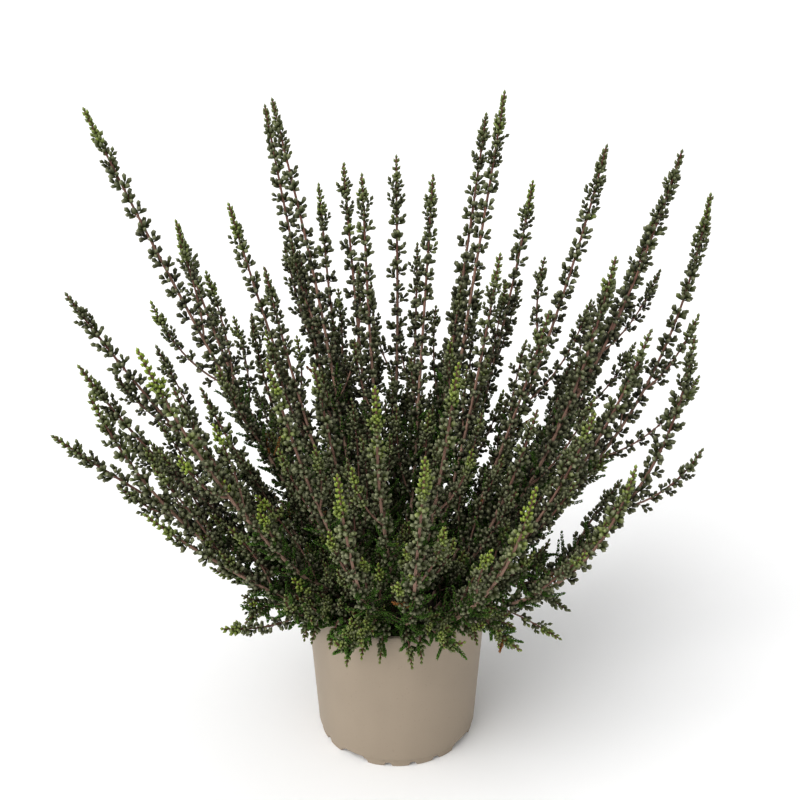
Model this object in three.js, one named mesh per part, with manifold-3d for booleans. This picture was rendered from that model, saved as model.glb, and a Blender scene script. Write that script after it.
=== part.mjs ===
// A potted heather in bud: a round plastic plant pot, its soil, and the budded stems that stand in it.
// Sizes are in millimetres. +Z is up, the origin is on the ground at the pot's axis, -Y is the front.
import * as THREE from "three";
import { mergeVertices } from "three/addons/utils/BufferGeometryUtils.js";
import Module from "manifold-3d";

const wasm = await Module();
wasm.setup();

// The pot
const POT_HEIGHT = 110;
const POT_FOOT_RADIUS = 53.4;
const POT_STEP_HEIGHT = 6;
const POT_STEP_DEPTH = 1.2;
const POT_STEP_SLOPE = 0.6;
const POT_TOP_RADIUS = 60.6;
const POT_WALL = 1.6;
const RIM_RADIUS = 62;
const RIM_HEIGHT = 4;
const RIM_SLOPE = 0.8;
const FLOOR_UNDERSIDE = 5;
const FLOOR_THICKNESS = 1.8;
const FOOT_WIDTH = 2.6;
const LOBES = 20;
const LOBE_SEGMENTS = 3;
const LOBES_PER_FOOT = 5;
const FIRST_RECESS_DEGREES = -33;
const RECESS_RISE = 3.8;
const NOTCH_RISE = 1.2;
const DRAIN_HOLES = 8;
const DRAIN_RADIUS = 4;
const DRAIN_CIRCLE = 36;
const DRAIN_SIDES = 8;

// The soil
const SOIL_HEIGHT = 98;
const SOIL_SIDES = 30;
const TOUCH_GAP = 0.35;
const STEM_DEPTH = 16;

// The stems and the buds on them
const STEM_RADIUS = 1.5;
const HOLE_SIDES = 4;
const FULL_SPRAY_RADIUS = 6.6;
const TIP_SPRAY_RADIUS = 3.4;
const TIP_TAPER = 70;
const FOOT_TAPER = 50;
const SKIRT_SPRAY_RADIUS = 5.6;
const SKIRT_TIP_TAPER = 30;
const SKIRT_FOOT_TAPER = 24;
const CORE_RADIUS = 1.9;
const BUD_STEP = 18;
const SKIRT_BUD_STEP = 13;
const LOW_BUD = 0.4;
const HIGH_BUD = 0.9;
const BARE_STEM = 10;
const TIP_LENGTH = 4;
const LEAST_BUD = 0.82;
const MOST_BUD = 0.96;
const CORE_TAPER = 0.35;

// The courses of the stems, and how they are bent clear of each other
const NODES = 33;
const BASE_CIRCLE = 41;
const OUTERMOST_BASE = 48;
const OUTER_BASE_LEAN = 0.9;
const LEAN_POWER = 0.6;
const INNER_BASE_SHARE = 0.8;
const SIDE_WAVE = 8;
const SWEEP_SINK = 0.6;
const SKIRT_BASE_CIRCLE = 47;
const CLEARANCE = 1.4;
const RIM_CLEARANCE = 5;
const RIM_RISE_FROM = 45;
const RIM_RISE_TO = 57;
const RELAX_STEPS = 110;
const RELAX_SHARE = 0.22;
const UPWARD_SHARE = 0.5;
const SPREAD_PASSES = 3;
const TIP_HOLD = 0.8;

// Steps that scatter whole numbers evenly between 0 and 1
const SCATTER = [0.6180339887, 0.7548776662, 0.569840291];

// Each tall stem: where its tip stands (x, y, z), and its sweep, from 0 for a straight stem
// to 1 for one that leaves the pot low and then turns up.
const TALL_TIPS = [
  [-187, 40, 420, 0.1],
  [-202, 10, 313, 0.15],
  [-188, -30, 282, 0.25],
  [-173, -70, 282, 0.5],
  [-203, -50, 246, 0.1],
  [-146, -80, 210, 0.2],
  [-134, -110, 326, 0.3],
  [-131, -40, 272, 0.3],
  [-123, 5, 252, 0.2],
  [-105, 50, 359, 0.15],
  [-86, 110, 408, 0.15],
  [-77, 70, 420, -0.1],
  [-81, 20, 327, 0.2],
  [-64, 75, 320, 0.2],
  [-34, 80, 377, 0.2],
  [-21, 40, 380, 0.1],
  [0, 85, 381, 0.1],
  [23, 55, 376, 0.1],
  [48, 110, 310, 0.2],
  [58, 95, 406, 0.1],
  [66, 55, 427, 0.1],
  [63, 10, 339, 0.2],
  [131, 60, 393, 0.35],
  [131, 0, 340, 0.5],
  [174, 95, 341, 0.4],
  [176, 50, 392, 0.4],
  [203, 75, 358, 0.8],
  [92, -10, 309, 0.2],
  [178, -20, 297, 0.9],
  [145, -50, 313, 0.4],
  [-70, -85, 309, 0.2],
  [-47, -55, 294, 0.1],
  [-11, -95, 298, 0.2],
  [34, -90, 310, 0.2],
  [84, -40, 258, 0.3],
  [116, -55, 263, 0.4],
  [76, -118, 249, 0.5],
  [15, -152, 285, 0.5],
  [-31, -125, 260, 0.5],
  [136, -85, 244, 0.7],
  [-150, 110, 330, 0.4],
  [-55, 152, 345, 0.4],
  [15, 155, 300, 0.6],
  [95, 140, 350, 0.4],
  [-105, 130, 255, 0.7],
  [150, 120, 250, 0.7],
];

// The short leafy stems that hang over the rim: how many, how far they reach and how high they end.
const SKIRT_COUNT = 12;
const SKIRT_FIRST_DEGREES = 256;
const SKIRT_REACH = 102;
const SKIRT_REACH_SPREAD = 13;
const SKIRT_TIP_HEIGHT = 134;
const SKIRT_TIP_SPREAD = 20;
const SKIRT_CREST = 140;
const SKIRT_CREST_OUT = 12;
const SKIRT_SHOULDER_IN = 14;
const SKIRT_TURN = 0.25;
const SKIRT_SHOULDER = 108;

const FLOOR_TOP = FLOOR_UNDERSIDE + FLOOR_THICKNESS;

const TAUPE_PLASTIC = { color: new THREE.Color(0.5, 0.44, 0.36), roughness: 0.6, metalness: 0 };
const DAMP_SOIL = { color: new THREE.Color(0.06, 0.04, 0.03), roughness: 0.95, metalness: 0 };
const BUD_GREEN = { color: new THREE.Color(0.07, 0.1, 0.05), roughness: 0.7, metalness: 0 };

// A closed solid for joins and cuts, from a three.js geometry.
function solidFrom(geometry) {
  const bare = geometry.clone();
  bare.deleteAttribute("normal");
  bare.deleteAttribute("uv");
  const merged = mergeVertices(bare, 1e-3);
  return new wasm.Manifold(
    new wasm.Mesh({
      numProp: 3,
      vertProperties: merged.attributes.position.array,
      triVerts: new Uint32Array(merged.index.array),
    }),
  );
}

// A three.js geometry from a solid.
function geometryFrom(solid) {
  const mesh = solid.getMesh();
  const geometry = new THREE.BufferGeometry();
  geometry.setAttribute("position", new THREE.BufferAttribute(new Float32Array(mesh.vertProperties), 3));
  geometry.setIndex(new THREE.BufferAttribute(new Uint32Array(mesh.triVerts), 1));
  return geometry;
}

// A whole number's own place between 0 and 1: evenly spread, and the same each time.
function scatter(n, row = 0) {
  return (n * SCATTER[row]) % 1;
}

// The same, between minus one and one.
function swing(n, row = 0) {
  return 2 * scatter(n, row) - 1;
}

function smooth(from, to, value) {
  const t = Math.min(1, Math.max(0, (value - from) / (to - from)));
  return t * t * (3 - 2 * t);
}

// How far the pot's foot is raised off the ground at one of its segments:
// a little at the notches between lobes, more at the recesses between feet.
function footRise(segment) {
  const lobe = Math.floor(segment / LOBE_SEGMENTS) % LOBES;
  const edge = segment % LOBE_SEGMENTS === 0;
  const inRecess = lobe % LOBES_PER_FOOT === 0;
  const atRecessEnd = edge && lobe % LOBES_PER_FOOT === 1;
  if (inRecess || atRecessEnd) return RECESS_RISE;
  return edge ? NOTCH_RISE : 0;
}

// The radius of the pot's inner wall at a height: it widens evenly from the floor to the rim.
function potInnerRadius(z) {
  const low = POT_FOOT_RADIUS - POT_WALL;
  const share = (z - FLOOR_TOP) / (POT_HEIGHT - FLOOR_TOP);
  return low + (POT_TOP_RADIUS - POT_WALL - low) * share;
}

// The pot: a lathed wall whose foot ring is raised by footRise, with drain holes cut through its floor.
function potGeometry() {
  const segments = LOBES * LOBE_SEGMENTS;
  const footInner = POT_FOOT_RADIUS - FOOT_WIDTH;
  const wallLow = POT_FOOT_RADIUS + POT_STEP_DEPTH;
  const rimLow = POT_HEIGHT - RIM_HEIGHT;
  const profile = [
    [0, FLOOR_UNDERSIDE],
    [footInner, FLOOR_UNDERSIDE],
    [footInner, 0],
    [POT_FOOT_RADIUS, 0],
    [POT_FOOT_RADIUS, POT_STEP_HEIGHT - POT_STEP_SLOPE],
    [wallLow, POT_STEP_HEIGHT],
    [POT_TOP_RADIUS, rimLow],
    [RIM_RADIUS, rimLow + RIM_SLOPE],
    [RIM_RADIUS, POT_HEIGHT],
    [potInnerRadius(POT_HEIGHT), POT_HEIGHT],
    [potInnerRadius(FLOOR_TOP), FLOOR_TOP],
    [0, FLOOR_TOP],
  ].map(([r, z]) => new THREE.Vector2(r, z));
  const lathe = new THREE.LatheGeometry(profile, segments);
  lathe.rotateX(Math.PI / 2);
  const place = lathe.attributes.position;
  const firstAngle = THREE.MathUtils.degToRad(FIRST_RECESS_DEGREES - 360 / LOBES / 2);
  const point = new THREE.Vector3();
  for (let i = 0; i < place.count; i++) {
    point.fromBufferAttribute(place, i);
    if (point.z > POT_STEP_SLOPE) continue;
    const angle = Math.atan2(point.x, -point.y) - firstAngle;
    const turn = (angle / (2 * Math.PI) + 2) % 1;
    place.setZ(i, footRise(Math.round(turn * segments) % segments));
  }
  const hole = new THREE.CylinderGeometry(DRAIN_RADIUS, DRAIN_RADIUS, 3 * FLOOR_THICKNESS, DRAIN_SIDES);
  hole.rotateX(Math.PI / 2);
  let pot = solidFrom(lathe);
  for (let i = 0; i < DRAIN_HOLES; i++) {
    const angle = ((i + 0.5) / DRAIN_HOLES) * 2 * Math.PI;
    const cut = hole.clone();
    const z = FLOOR_UNDERSIDE + FLOOR_THICKNESS / 2;
    cut.translate(DRAIN_CIRCLE * Math.cos(angle), DRAIN_CIRCLE * Math.sin(angle), z);
    pot = pot.subtract(solidFrom(cut));
  }
  return geometryFrom(pot);
}

// A spray's half width at a distance along it: slim at the soil, full in the middle, slim at the tip.
function sprayRadius(stem, distance) {
  const { full, footTaper, tipTaper, total } = stem;
  const foot = STEM_RADIUS + (full - STEM_RADIUS) * smooth(0, footTaper, distance);
  const tip = TIP_SPRAY_RADIUS + (full - TIP_SPRAY_RADIUS) * smooth(0, tipTaper, total - distance);
  return Math.min(foot, tip);
}

// The first course of a tall stem, before it is bent clear of its neighbours, as nodes from soil to tip.
function tallNodes([x, y, z, sweep], index) {
  const reach = Math.hypot(x, y);
  const bearing = Math.atan2(y, x);
  const lean = Math.min(1, reach / (z - SOIL_HEIGHT) / OUTER_BASE_LEAN);
  const share = INNER_BASE_SHARE + (1 - INNER_BASE_SHARE) * scatter(index + 1);
  const baseRadius = BASE_CIRCLE * share * Math.pow(lean, LEAN_POWER);
  const base = new THREE.Vector3(
    baseRadius * Math.cos(bearing),
    baseRadius * Math.sin(bearing),
    SOIL_HEIGHT,
  );
  const wave = (SIDE_WAVE / 2) * swing(index + 3, 2);
  const nodes = [];
  for (let k = 0; k < NODES; k++) {
    const t = k / (NODES - 1);
    const out = t + sweep * t * (1 - t);
    const up = t - SWEEP_SINK * sweep * t * (1 - t);
    const side = wave * Math.sin(2 * Math.PI * t) * (1 - t);
    nodes.push([
      base.x + (x - base.x) * out - side * Math.sin(bearing),
      base.y + (y - base.y) * out + side * Math.cos(bearing),
      base.z + (z - base.z) * up,
    ]);
  }
  return nodes;
}

// The first course of a stem that hangs over the rim: one cubic curve out from the soil's edge.
function skirtNodes(index) {
  const bearing = THREE.MathUtils.degToRad(SKIRT_FIRST_DEGREES + (index * 360) / SKIRT_COUNT);
  const reach = SKIRT_REACH + SKIRT_REACH_SPREAD * swing(index + 1);
  const tipHeight = SKIRT_TIP_HEIGHT + SKIRT_TIP_SPREAD * swing(index + 2, 1);
  const turn = SKIRT_TURN * swing(index + 4, 2);
  const curve = new THREE.CubicBezierCurve(
    new THREE.Vector2(SKIRT_BASE_CIRCLE, SOIL_HEIGHT),
    new THREE.Vector2(SKIRT_BASE_CIRCLE + SKIRT_CREST_OUT, SKIRT_CREST),
    new THREE.Vector2(reach - SKIRT_SHOULDER_IN, SKIRT_SHOULDER),
    new THREE.Vector2(reach, tipHeight),
  );
  const nodes = [];
  for (let k = 0; k < NODES; k++) {
    const t = k / (NODES - 1);
    const point = curve.getPoint(t);
    const angle = bearing + turn * t * t;
    nodes.push([point.x * Math.cos(angle), point.x * Math.sin(angle), point.y]);
  }
  return nodes;
}

function lengths(nodes) {
  const run = [0];
  for (let k = 1; k < nodes.length; k++) {
    const [a, b] = [nodes[k - 1], nodes[k]];
    run.push(run[k - 1] + Math.hypot(b[0] - a[0], b[1] - a[1], b[2] - a[2]));
  }
  return run;
}

// The lowest that a stem's middle may pass at a distance from the axis, so that its buds clear the rim.
function rimHeight(radius, spray) {
  if (radius > RIM_RADIUS + spray + RIM_CLEARANCE) return 0;
  const over = smooth(RIM_RISE_FROM, RIM_RISE_TO, radius);
  return SOIL_HEIGHT + over * (POT_HEIGHT + spray + RIM_CLEARANCE - SOIL_HEIGHT);
}

// Bends the stems clear of each other: nodes of two stems that are too close push each other apart,
// the pushes are spread smoothly along each stem, and the tips move least.
function bendClear(stems) {
  for (let step = 0; step < RELAX_STEPS; step++) {
    const moves = stems.map((s) => s.nodes.map(() => [0, 0, 0]));
    for (let i = 0; i < stems.length; i++) {
      for (let j = i + 1; j < stems.length; j++) {
        pushApart(stems[i], stems[j], moves[i], moves[j]);
      }
    }
    stems.forEach((stem, i) => {
      applyMoves(stem, moves[i]);
    });
  }
}

function pushApart(first, second, firstMoves, secondMoves) {
  for (let a = 0; a < NODES; a++) {
    const p = first.nodes[a];
    for (let b = 0; b < NODES; b++) {
      const q = second.nodes[b];
      const need = first.radii[a] + second.radii[b] + CLEARANCE;
      const dx = p[0] - q[0];
      const dy = p[1] - q[1];
      const dz = p[2] - q[2];
      if (Math.abs(dx) > need || Math.abs(dy) > need || Math.abs(dz) > need) continue;
      const gap = Math.hypot(dx, dy, dz);
      if (gap >= need) continue;
      const push = (RELAX_SHARE * (need - gap)) / gap;
      const move = [push * dx, push * dy, UPWARD_SHARE * push * dz];
      for (let c = 0; c < 3; c++) {
        firstMoves[a][c] += move[c];
        secondMoves[b][c] -= move[c];
      }
    }
  }
}

function applyMoves(stem, moves) {
  const last = NODES - 1;
  for (let pass = 0; pass < SPREAD_PASSES; pass++) {
    const old = moves.map((m) => m.slice());
    for (let k = 0; k <= last; k++) {
      const before = old[Math.max(0, k - 1)];
      const after = old[Math.min(last, k + 1)];
      for (let c = 0; c < 3; c++) moves[k][c] = (before[c] + 2 * old[k][c] + after[c]) / 4;
    }
  }
  stem.nodes.forEach((node, k) => {
    const t = k / last;
    const freedom = 1 - TIP_HOLD * t * t;
    for (let c = 0; c < 3; c++) node[c] += freedom * moves[k][c];
    const radius = Math.hypot(node[0], node[1]);
    if (k === 0 && radius > OUTERMOST_BASE) {
      node[0] *= OUTERMOST_BASE / radius;
      node[1] *= OUTERMOST_BASE / radius;
    }
    node[2] = Math.max(node[2], rimHeight(radius, stem.radii[k]));
    if (k === 0) node[2] = SOIL_HEIGHT;
  });
}

// Every stem with its name, nodes and half widths, bent clear of the others.
function growStems() {
  const stems = TALL_TIPS.map((tip, i) => ({
    name: "spray_" + String(i + 1).padStart(2, "0"),
    nodes: tallNodes(tip, i),
    full: FULL_SPRAY_RADIUS,
    footTaper: FOOT_TAPER,
    tipTaper: TIP_TAPER,
    budStep: BUD_STEP,
  }));
  for (let i = 0; i < SKIRT_COUNT; i++) {
    stems.push({
      name: "skirt_spray_" + String(i + 1).padStart(2, "0"),
      nodes: skirtNodes(i),
      full: SKIRT_SPRAY_RADIUS,
      footTaper: SKIRT_FOOT_TAPER,
      tipTaper: SKIRT_TIP_TAPER,
      budStep: SKIRT_BUD_STEP,
    });
  }
  for (const stem of stems) {
    const run = lengths(stem.nodes);
    stem.total = run[NODES - 1];
    stem.radii = run.map((distance) => sprayRadius(stem, distance));
  }
  bendClear(stems);
  return stems;
}

// The point at a distance along a stem; below the soil it goes straight down.
function pointAlong(nodes, run, distance) {
  const a = nodes[0];
  if (distance < 0) return new THREE.Vector3(a[0], a[1], a[2] + distance);
  let k = 1;
  while (k < run.length - 1 && run[k] < distance) k++;
  const share = (distance - run[k - 1]) / (run[k] - run[k - 1]);
  return new THREE.Vector3(...nodes[k - 1].map((v, c) => v + (nodes[k][c] - v) * share));
}

// Three points round a stem at a distance along it.
function ringAt(stem, distance, radius, turn) {
  const span = TIP_LENGTH;
  const centre = pointAlong(stem.nodes, stem.run, distance);
  const ahead = pointAlong(stem.nodes, stem.run, Math.min(distance + span, stem.total));
  const behind = pointAlong(stem.nodes, stem.run, Math.min(distance, stem.total - span) - span);
  const along = ahead.sub(behind).normalize();
  const bearing = Math.atan2(stem.nodes[NODES - 1][1], stem.nodes[NODES - 1][0]);
  const side = new THREE.Vector3(-Math.sin(bearing), Math.cos(bearing), 0);
  const across = new THREE.Vector3().crossVectors(side, along).normalize();
  side.crossVectors(along, across);
  const points = [];
  for (let i = 0; i < 3; i++) {
    const angle = turn + (i * 2 * Math.PI) / 3;
    const point = centre.clone();
    point.addScaledVector(across, radius * Math.cos(angle));
    point.addScaledVector(side, radius * Math.sin(angle));
    points.push(point);
  }
  return { points, centre, along };
}

// A spray: a slim three-sided core that twists a sixth of a turn from ring to ring,
// and on each of its triangles a bud raised outwards and upwards to a point.
function sprayGeometry(stem) {
  stem.run = lengths(stem.nodes);
  stem.total = stem.run[NODES - 1];
  const steps = Math.round((stem.total - BARE_STEM) / stem.budStep);
  const step = (stem.total - BARE_STEM - TIP_LENGTH) / steps;
  const rings = [ringAt(stem, -STEM_DEPTH, STEM_RADIUS, 0), ringAt(stem, BARE_STEM, STEM_RADIUS, 0)];
  for (let j = 1; j <= steps; j++) {
    const core = CORE_RADIUS * (1 - (CORE_TAPER * j) / steps);
    rings.push(ringAt(stem, BARE_STEM + j * step, core, (j * Math.PI) / 3));
  }
  const corners = [];
  const addTriangle = (a, b, c) => corners.push(...a.toArray(), ...b.toArray(), ...c.toArray());
  const addBud = (a, b, c, j, share, size) => {
    const [low, high] = [rings[j], rings[j + 1]];
    const distance = BARE_STEM + (j - 1 + share) * step;
    const radius = size * sprayRadius(stem, distance);
    const top = low.centre.clone().lerp(high.centre, share);
    const out = new THREE.Vector3().add(a).add(b).add(c).divideScalar(3).sub(top);
    out.addScaledVector(low.along, -out.dot(low.along)).normalize();
    top.addScaledVector(out, radius);
    addTriangle(a, b, top);
    addTriangle(b, c, top);
    addTriangle(c, a, top);
  };
  const first = rings[0].points;
  addTriangle(first[2], first[1], first[0]);
  for (let j = 0; j + 1 < rings.length; j++) {
    for (let i = 0; i < 3; i++) {
      const n = (i + 1) % 3;
      const [a, b] = [rings[j].points[i], rings[j].points[n]];
      const [c, d] = [rings[j + 1].points[i], rings[j + 1].points[n]];
      if (j === 0) {
        addTriangle(a, b, d);
        addTriangle(a, d, c);
        continue;
      }
      addBud(a, b, c, j, LOW_BUD, LEAST_BUD + (MOST_BUD - LEAST_BUD) * scatter(i + 3 * j));
      addBud(b, d, c, j, HIGH_BUD, LEAST_BUD + (MOST_BUD - LEAST_BUD) * scatter(i + 3 * j + 1));
    }
  }
  const last = rings[rings.length - 1].points;
  const tip = pointAlong(stem.nodes, stem.run, stem.total);
  for (let i = 0; i < 3; i++) addTriangle(last[i], last[(i + 1) % 3], tip);
  const geometry = new THREE.BufferGeometry();
  geometry.setAttribute("position", new THREE.Float32BufferAttribute(corners, 3));
  return mergeVertices(geometry, 1e-4);
}

// The soil fills the pot to just under its rim, and each stem stands in a blind hole in it.
function soilGeometry(stems) {
  const bottom = FLOOR_TOP + TOUCH_GAP;
  const profile = [
    [0, bottom],
    [potInnerRadius(bottom) - TOUCH_GAP, bottom],
    [potInnerRadius(SOIL_HEIGHT) - TOUCH_GAP, SOIL_HEIGHT],
    [0, SOIL_HEIGHT],
  ].map(([r, z]) => new THREE.Vector2(r, z));
  const lathe = new THREE.LatheGeometry(profile, SOIL_SIDES);
  lathe.rotateX(Math.PI / 2);
  let soil = solidFrom(lathe);
  const width = (STEM_RADIUS + TOUCH_GAP) / Math.cos(Math.PI / HOLE_SIDES);
  for (const stem of stems) {
    const low = pointAlong(stem.nodes, stem.run, -STEM_DEPTH);
    const high = pointAlong(stem.nodes, stem.run, BARE_STEM);
    const length = low.distanceTo(high) + 2 * TOUCH_GAP;
    const hole = new THREE.CylinderGeometry(width, width, length, HOLE_SIDES);
    const along = high.clone().sub(low).normalize();
    hole.applyQuaternion(new THREE.Quaternion().setFromUnitVectors(new THREE.Vector3(0, 1, 0), along));
    const middle = low.lerp(high, 0.5);
    hole.translate(middle.x, middle.y, middle.z);
    soil = soil.subtract(solidFrom(hole));
  }
  return geometryFrom(soil);
}

function named(name, geometry, finish) {
  const mesh = new THREE.Mesh(geometry, new THREE.MeshStandardMaterial(finish));
  mesh.name = name;
  return mesh;
}

const stems = growStems();
const heather = new THREE.Group();
heather.add(named("pot", potGeometry(), TAUPE_PLASTIC));
for (const stem of stems) heather.add(named(stem.name, sprayGeometry(stem), BUD_GREEN));
heather.add(named("soil", soilGeometry(stems), DAMP_SOIL));

export default heather;
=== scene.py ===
"""Looks of a potted heather in bud: the plastic pot, the soil, the budded stems and a plain studio.

Sizes in this file are in millimetres unless a property says otherwise; meshes are made in metres.
"""

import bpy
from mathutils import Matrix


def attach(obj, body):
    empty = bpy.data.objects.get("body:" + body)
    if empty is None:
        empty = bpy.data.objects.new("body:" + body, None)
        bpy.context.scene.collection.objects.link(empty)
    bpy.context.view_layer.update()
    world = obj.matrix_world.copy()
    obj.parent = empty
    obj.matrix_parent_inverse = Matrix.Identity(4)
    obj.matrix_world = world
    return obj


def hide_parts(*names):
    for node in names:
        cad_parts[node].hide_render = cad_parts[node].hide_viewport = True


bl_info = {
    "name": "Potted Heather",
    "version": (1, 0, 0),
    "blender": (4, 5, 0),
    "location": "View3D > Sidebar > Heather",
    "description": "Dresses a potted heather in bud with its pot, soil, stems, leaves and buds",
    "category": "Add Mesh",
}

import math
from types import SimpleNamespace

import bpy
import numpy as np

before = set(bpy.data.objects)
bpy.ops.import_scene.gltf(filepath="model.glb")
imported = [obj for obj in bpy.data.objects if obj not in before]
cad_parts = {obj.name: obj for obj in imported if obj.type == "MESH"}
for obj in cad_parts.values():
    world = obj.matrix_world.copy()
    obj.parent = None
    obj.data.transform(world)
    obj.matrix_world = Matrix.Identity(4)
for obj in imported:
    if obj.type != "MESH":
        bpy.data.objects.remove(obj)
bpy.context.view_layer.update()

MM = 0.001
BODY = "root"
PALETTE_MAP = "OFBake"

# The pot. The notches and recesses that cut its foot ring into lobes start from a bearing at the front.
POT_HEIGHT = 110
POT_FOOT_RADIUS = 53.4
POT_STEP_HEIGHT = 6
POT_STEP_DEPTH = 1.2
POT_TOP_RADIUS = 60.6
POT_WALL = 1.6
RIM_RADIUS = 62
RIM_HEIGHT = 4
FLOOR_UNDERSIDE = 5
FLOOR_THICKNESS = 1.8
FLOOR_TOP = FLOOR_UNDERSIDE + FLOOR_THICKNESS
FOOT_WIDTH = 2.6
LOBES = 20
LOBES_PER_FOOT = 5
FIRST_RECESS_DEGREES = -33
RECESS_RISE = 4.4
RECESS_EDGE_DEGREES = 0.6
NOTCH_RISE = 3
NOTCH_HALF_DEGREES = 3
LOBE_BOW = 0.7
STEP_SLOPE = 0.6
RIM_SLOPE = 0.8
DRAIN_HOLES = 8
DRAIN_RADIUS = 4
DRAIN_CIRCLE = 36
DRAIN_SEGMENTS = 24
DRAIN_CUT_FROM = 3.0
DRAIN_CUT_DEPTH = 6
POT_SEGMENTS = 360

# The soil
SOIL_HEIGHT = 98
SOIL_WALL_GAP = 0.4
SOIL_FLOOR_GAP = 0.35
SOIL_RINGS = 44
SOIL_SEGMENTS = 128
SOIL_GRAIN = 0.45
CRUMBS = 1500
CRUMB_CIRCLE = 56

# The courses of the stems, and how they are bent clear of each other
STEM_RADIUS = 1.5
FULL_SPRAY_RADIUS = 6.6
TIP_SPRAY_RADIUS = 3.4
TIP_TAPER = 70
FOOT_TAPER = 50
SKIRT_SPRAY_RADIUS = 5.6
SKIRT_TIP_TAPER = 30
SKIRT_FOOT_TAPER = 24
NODES = 33
BASE_CIRCLE = 41
OUTERMOST_BASE = 48
OUTER_BASE_LEAN = 0.9
LEAN_POWER = 0.6
INNER_BASE_SHARE = 0.8
SIDE_WAVE = 8
SWEEP_SINK = 0.6
SKIRT_BASE_CIRCLE = 47
CLEARANCE = 1.4
RIM_CLEARANCE = 5
RIM_RISE_FROM = 45
RIM_RISE_TO = 57
RELAX_STEPS = 110
RELAX_SHARE = 0.22
UPWARD_SHARE = 0.5
SPREAD_PASSES = 3
TIP_HOLD = 0.8
NEIGHBOURS_EVERY = 10
NEIGHBOUR_REACH = 30

# Steps that scatter whole numbers evenly between 0 and 1
SCATTER = [0.6180339887, 0.7548776662, 0.569840291]

# The shortest length that a vector is divided by, and a direction that few stems run along
LEAST_LENGTH = 1e-9
ASKEW = [0.36, 0.48, -0.8]

# Each tall stem: where its tip stands (x, y, z), and its sweep, from 0 for a straight stem
# to 1 for one that leaves the pot low and then turns up
TALL_TIPS = np.array([
    [-187, 40, 420, 0.1],
    [-202, 10, 313, 0.15],
    [-188, -30, 282, 0.25],
    [-173, -70, 282, 0.5],
    [-203, -50, 246, 0.1],
    [-146, -80, 210, 0.2],
    [-134, -110, 326, 0.3],
    [-131, -40, 272, 0.3],
    [-123, 5, 252, 0.2],
    [-105, 50, 359, 0.15],
    [-86, 110, 408, 0.15],
    [-77, 70, 420, -0.1],
    [-81, 20, 327, 0.2],
    [-64, 75, 320, 0.2],
    [-34, 80, 377, 0.2],
    [-21, 40, 380, 0.1],
    [0, 85, 381, 0.1],
    [23, 55, 376, 0.1],
    [48, 110, 310, 0.2],
    [58, 95, 406, 0.1],
    [66, 55, 427, 0.1],
    [63, 10, 339, 0.2],
    [131, 60, 393, 0.35],
    [131, 0, 340, 0.5],
    [174, 95, 341, 0.4],
    [176, 50, 392, 0.4],
    [203, 75, 358, 0.8],
    [92, -10, 309, 0.2],
    [178, -20, 297, 0.9],
    [145, -50, 313, 0.4],
    [-70, -85, 309, 0.2],
    [-47, -55, 294, 0.1],
    [-11, -95, 298, 0.2],
    [34, -90, 310, 0.2],
    [84, -40, 258, 0.3],
    [116, -55, 263, 0.4],
    [76, -118, 249, 0.5],
    [15, -152, 285, 0.5],
    [-31, -125, 260, 0.5],
    [136, -85, 244, 0.7],
    [-150, 110, 330, 0.4],
    [-55, 152, 345, 0.4],
    [15, 155, 300, 0.6],
    [95, 140, 350, 0.4],
    [-105, 130, 255, 0.7],
    [150, 120, 250, 0.7],
])

# The short leafy stems that hang over the rim
SKIRT_COUNT = 12
SKIRT_FIRST_DEGREES = 256
SKIRT_REACH = 102
SKIRT_REACH_SPREAD = 13
SKIRT_TIP_HEIGHT = 134
SKIRT_TIP_SPREAD = 20
SKIRT_CREST = 140
SKIRT_CREST_OUT = 12
SKIRT_SHOULDER_IN = 14
SKIRT_TURN = 0.25
SKIRT_SHOULDER = 108

# The growing end of a shoot: its crossed pairs of buds, and how they change from the first to the last
TIP_REACH = 12
TIP_STEP = 2.1
TIP_SET_BACK = 2.6
TIP_LEAN_DEGREES = 50
TIP_CLOSES_DEGREES = 20
TIP_BUD_LENGTH = 4.1
TIP_SHORTENS = 0.6
TIP_BUD_WIDTH = 1.06
TIP_SLIMS = 0.1
LAST_BUD_LEAN = 0.05

# The buds on their twigs, and how much paler they are at the top of a tall stem: partly their own paler
# grey, partly painted light on the top
BUD_LENGTH = 3.3
BUD_WIDTH = 0.95
END_BUD_DEGREES = 8
TWIG_WIDTH = 0.36
FAN_SHORTENS = 0.5
FAN_OPENS_DEGREES = 15
FAN_OPENS_OVER = 60
COLUMN_CLOSES_DEGREES = 8
LAST_COLUMN_LENGTH = 4.2
PALER_AND_LIT_ABOVE = 0.28

# Leafy shoots, with crossed pairs of leaves all along them
LEAF_PAIRS = 12
LEAF_LENGTH = 3.3
LEAF_WIDTH = 1.0
LEAF_DEGREES = 44
LEAF_CLOSES = 0.4
LEAFY_TWIG_WIDTH = 0.4
LEAFY_SHARE = 0.44

# Side shoots: how far they favour the stem's upper side, how strongly they are drawn upwards, how fast they
# come round, and the turn about the stem from each shoot to the next
SIDE_SHOOT_LIFT = 1.0
SIDE_SHOOT_RISE = 0.35
SIDE_SHOOT_POWER = 1.3
SIDE_SHOOT_STEPS = 14
SIDE_SHOOT_TURN = 2.4
SPIRAL_TURN = np.radians(137.5)

# The distance from the axis that counts as far out for a tip, a usual stem's length, and how far forward of
# the axis the front begins and how deep it is
FAR_OUT = 200
USUAL_LENGTH = 280
FRONT_FROM = 30
FRONT_DEPTH = 80

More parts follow.
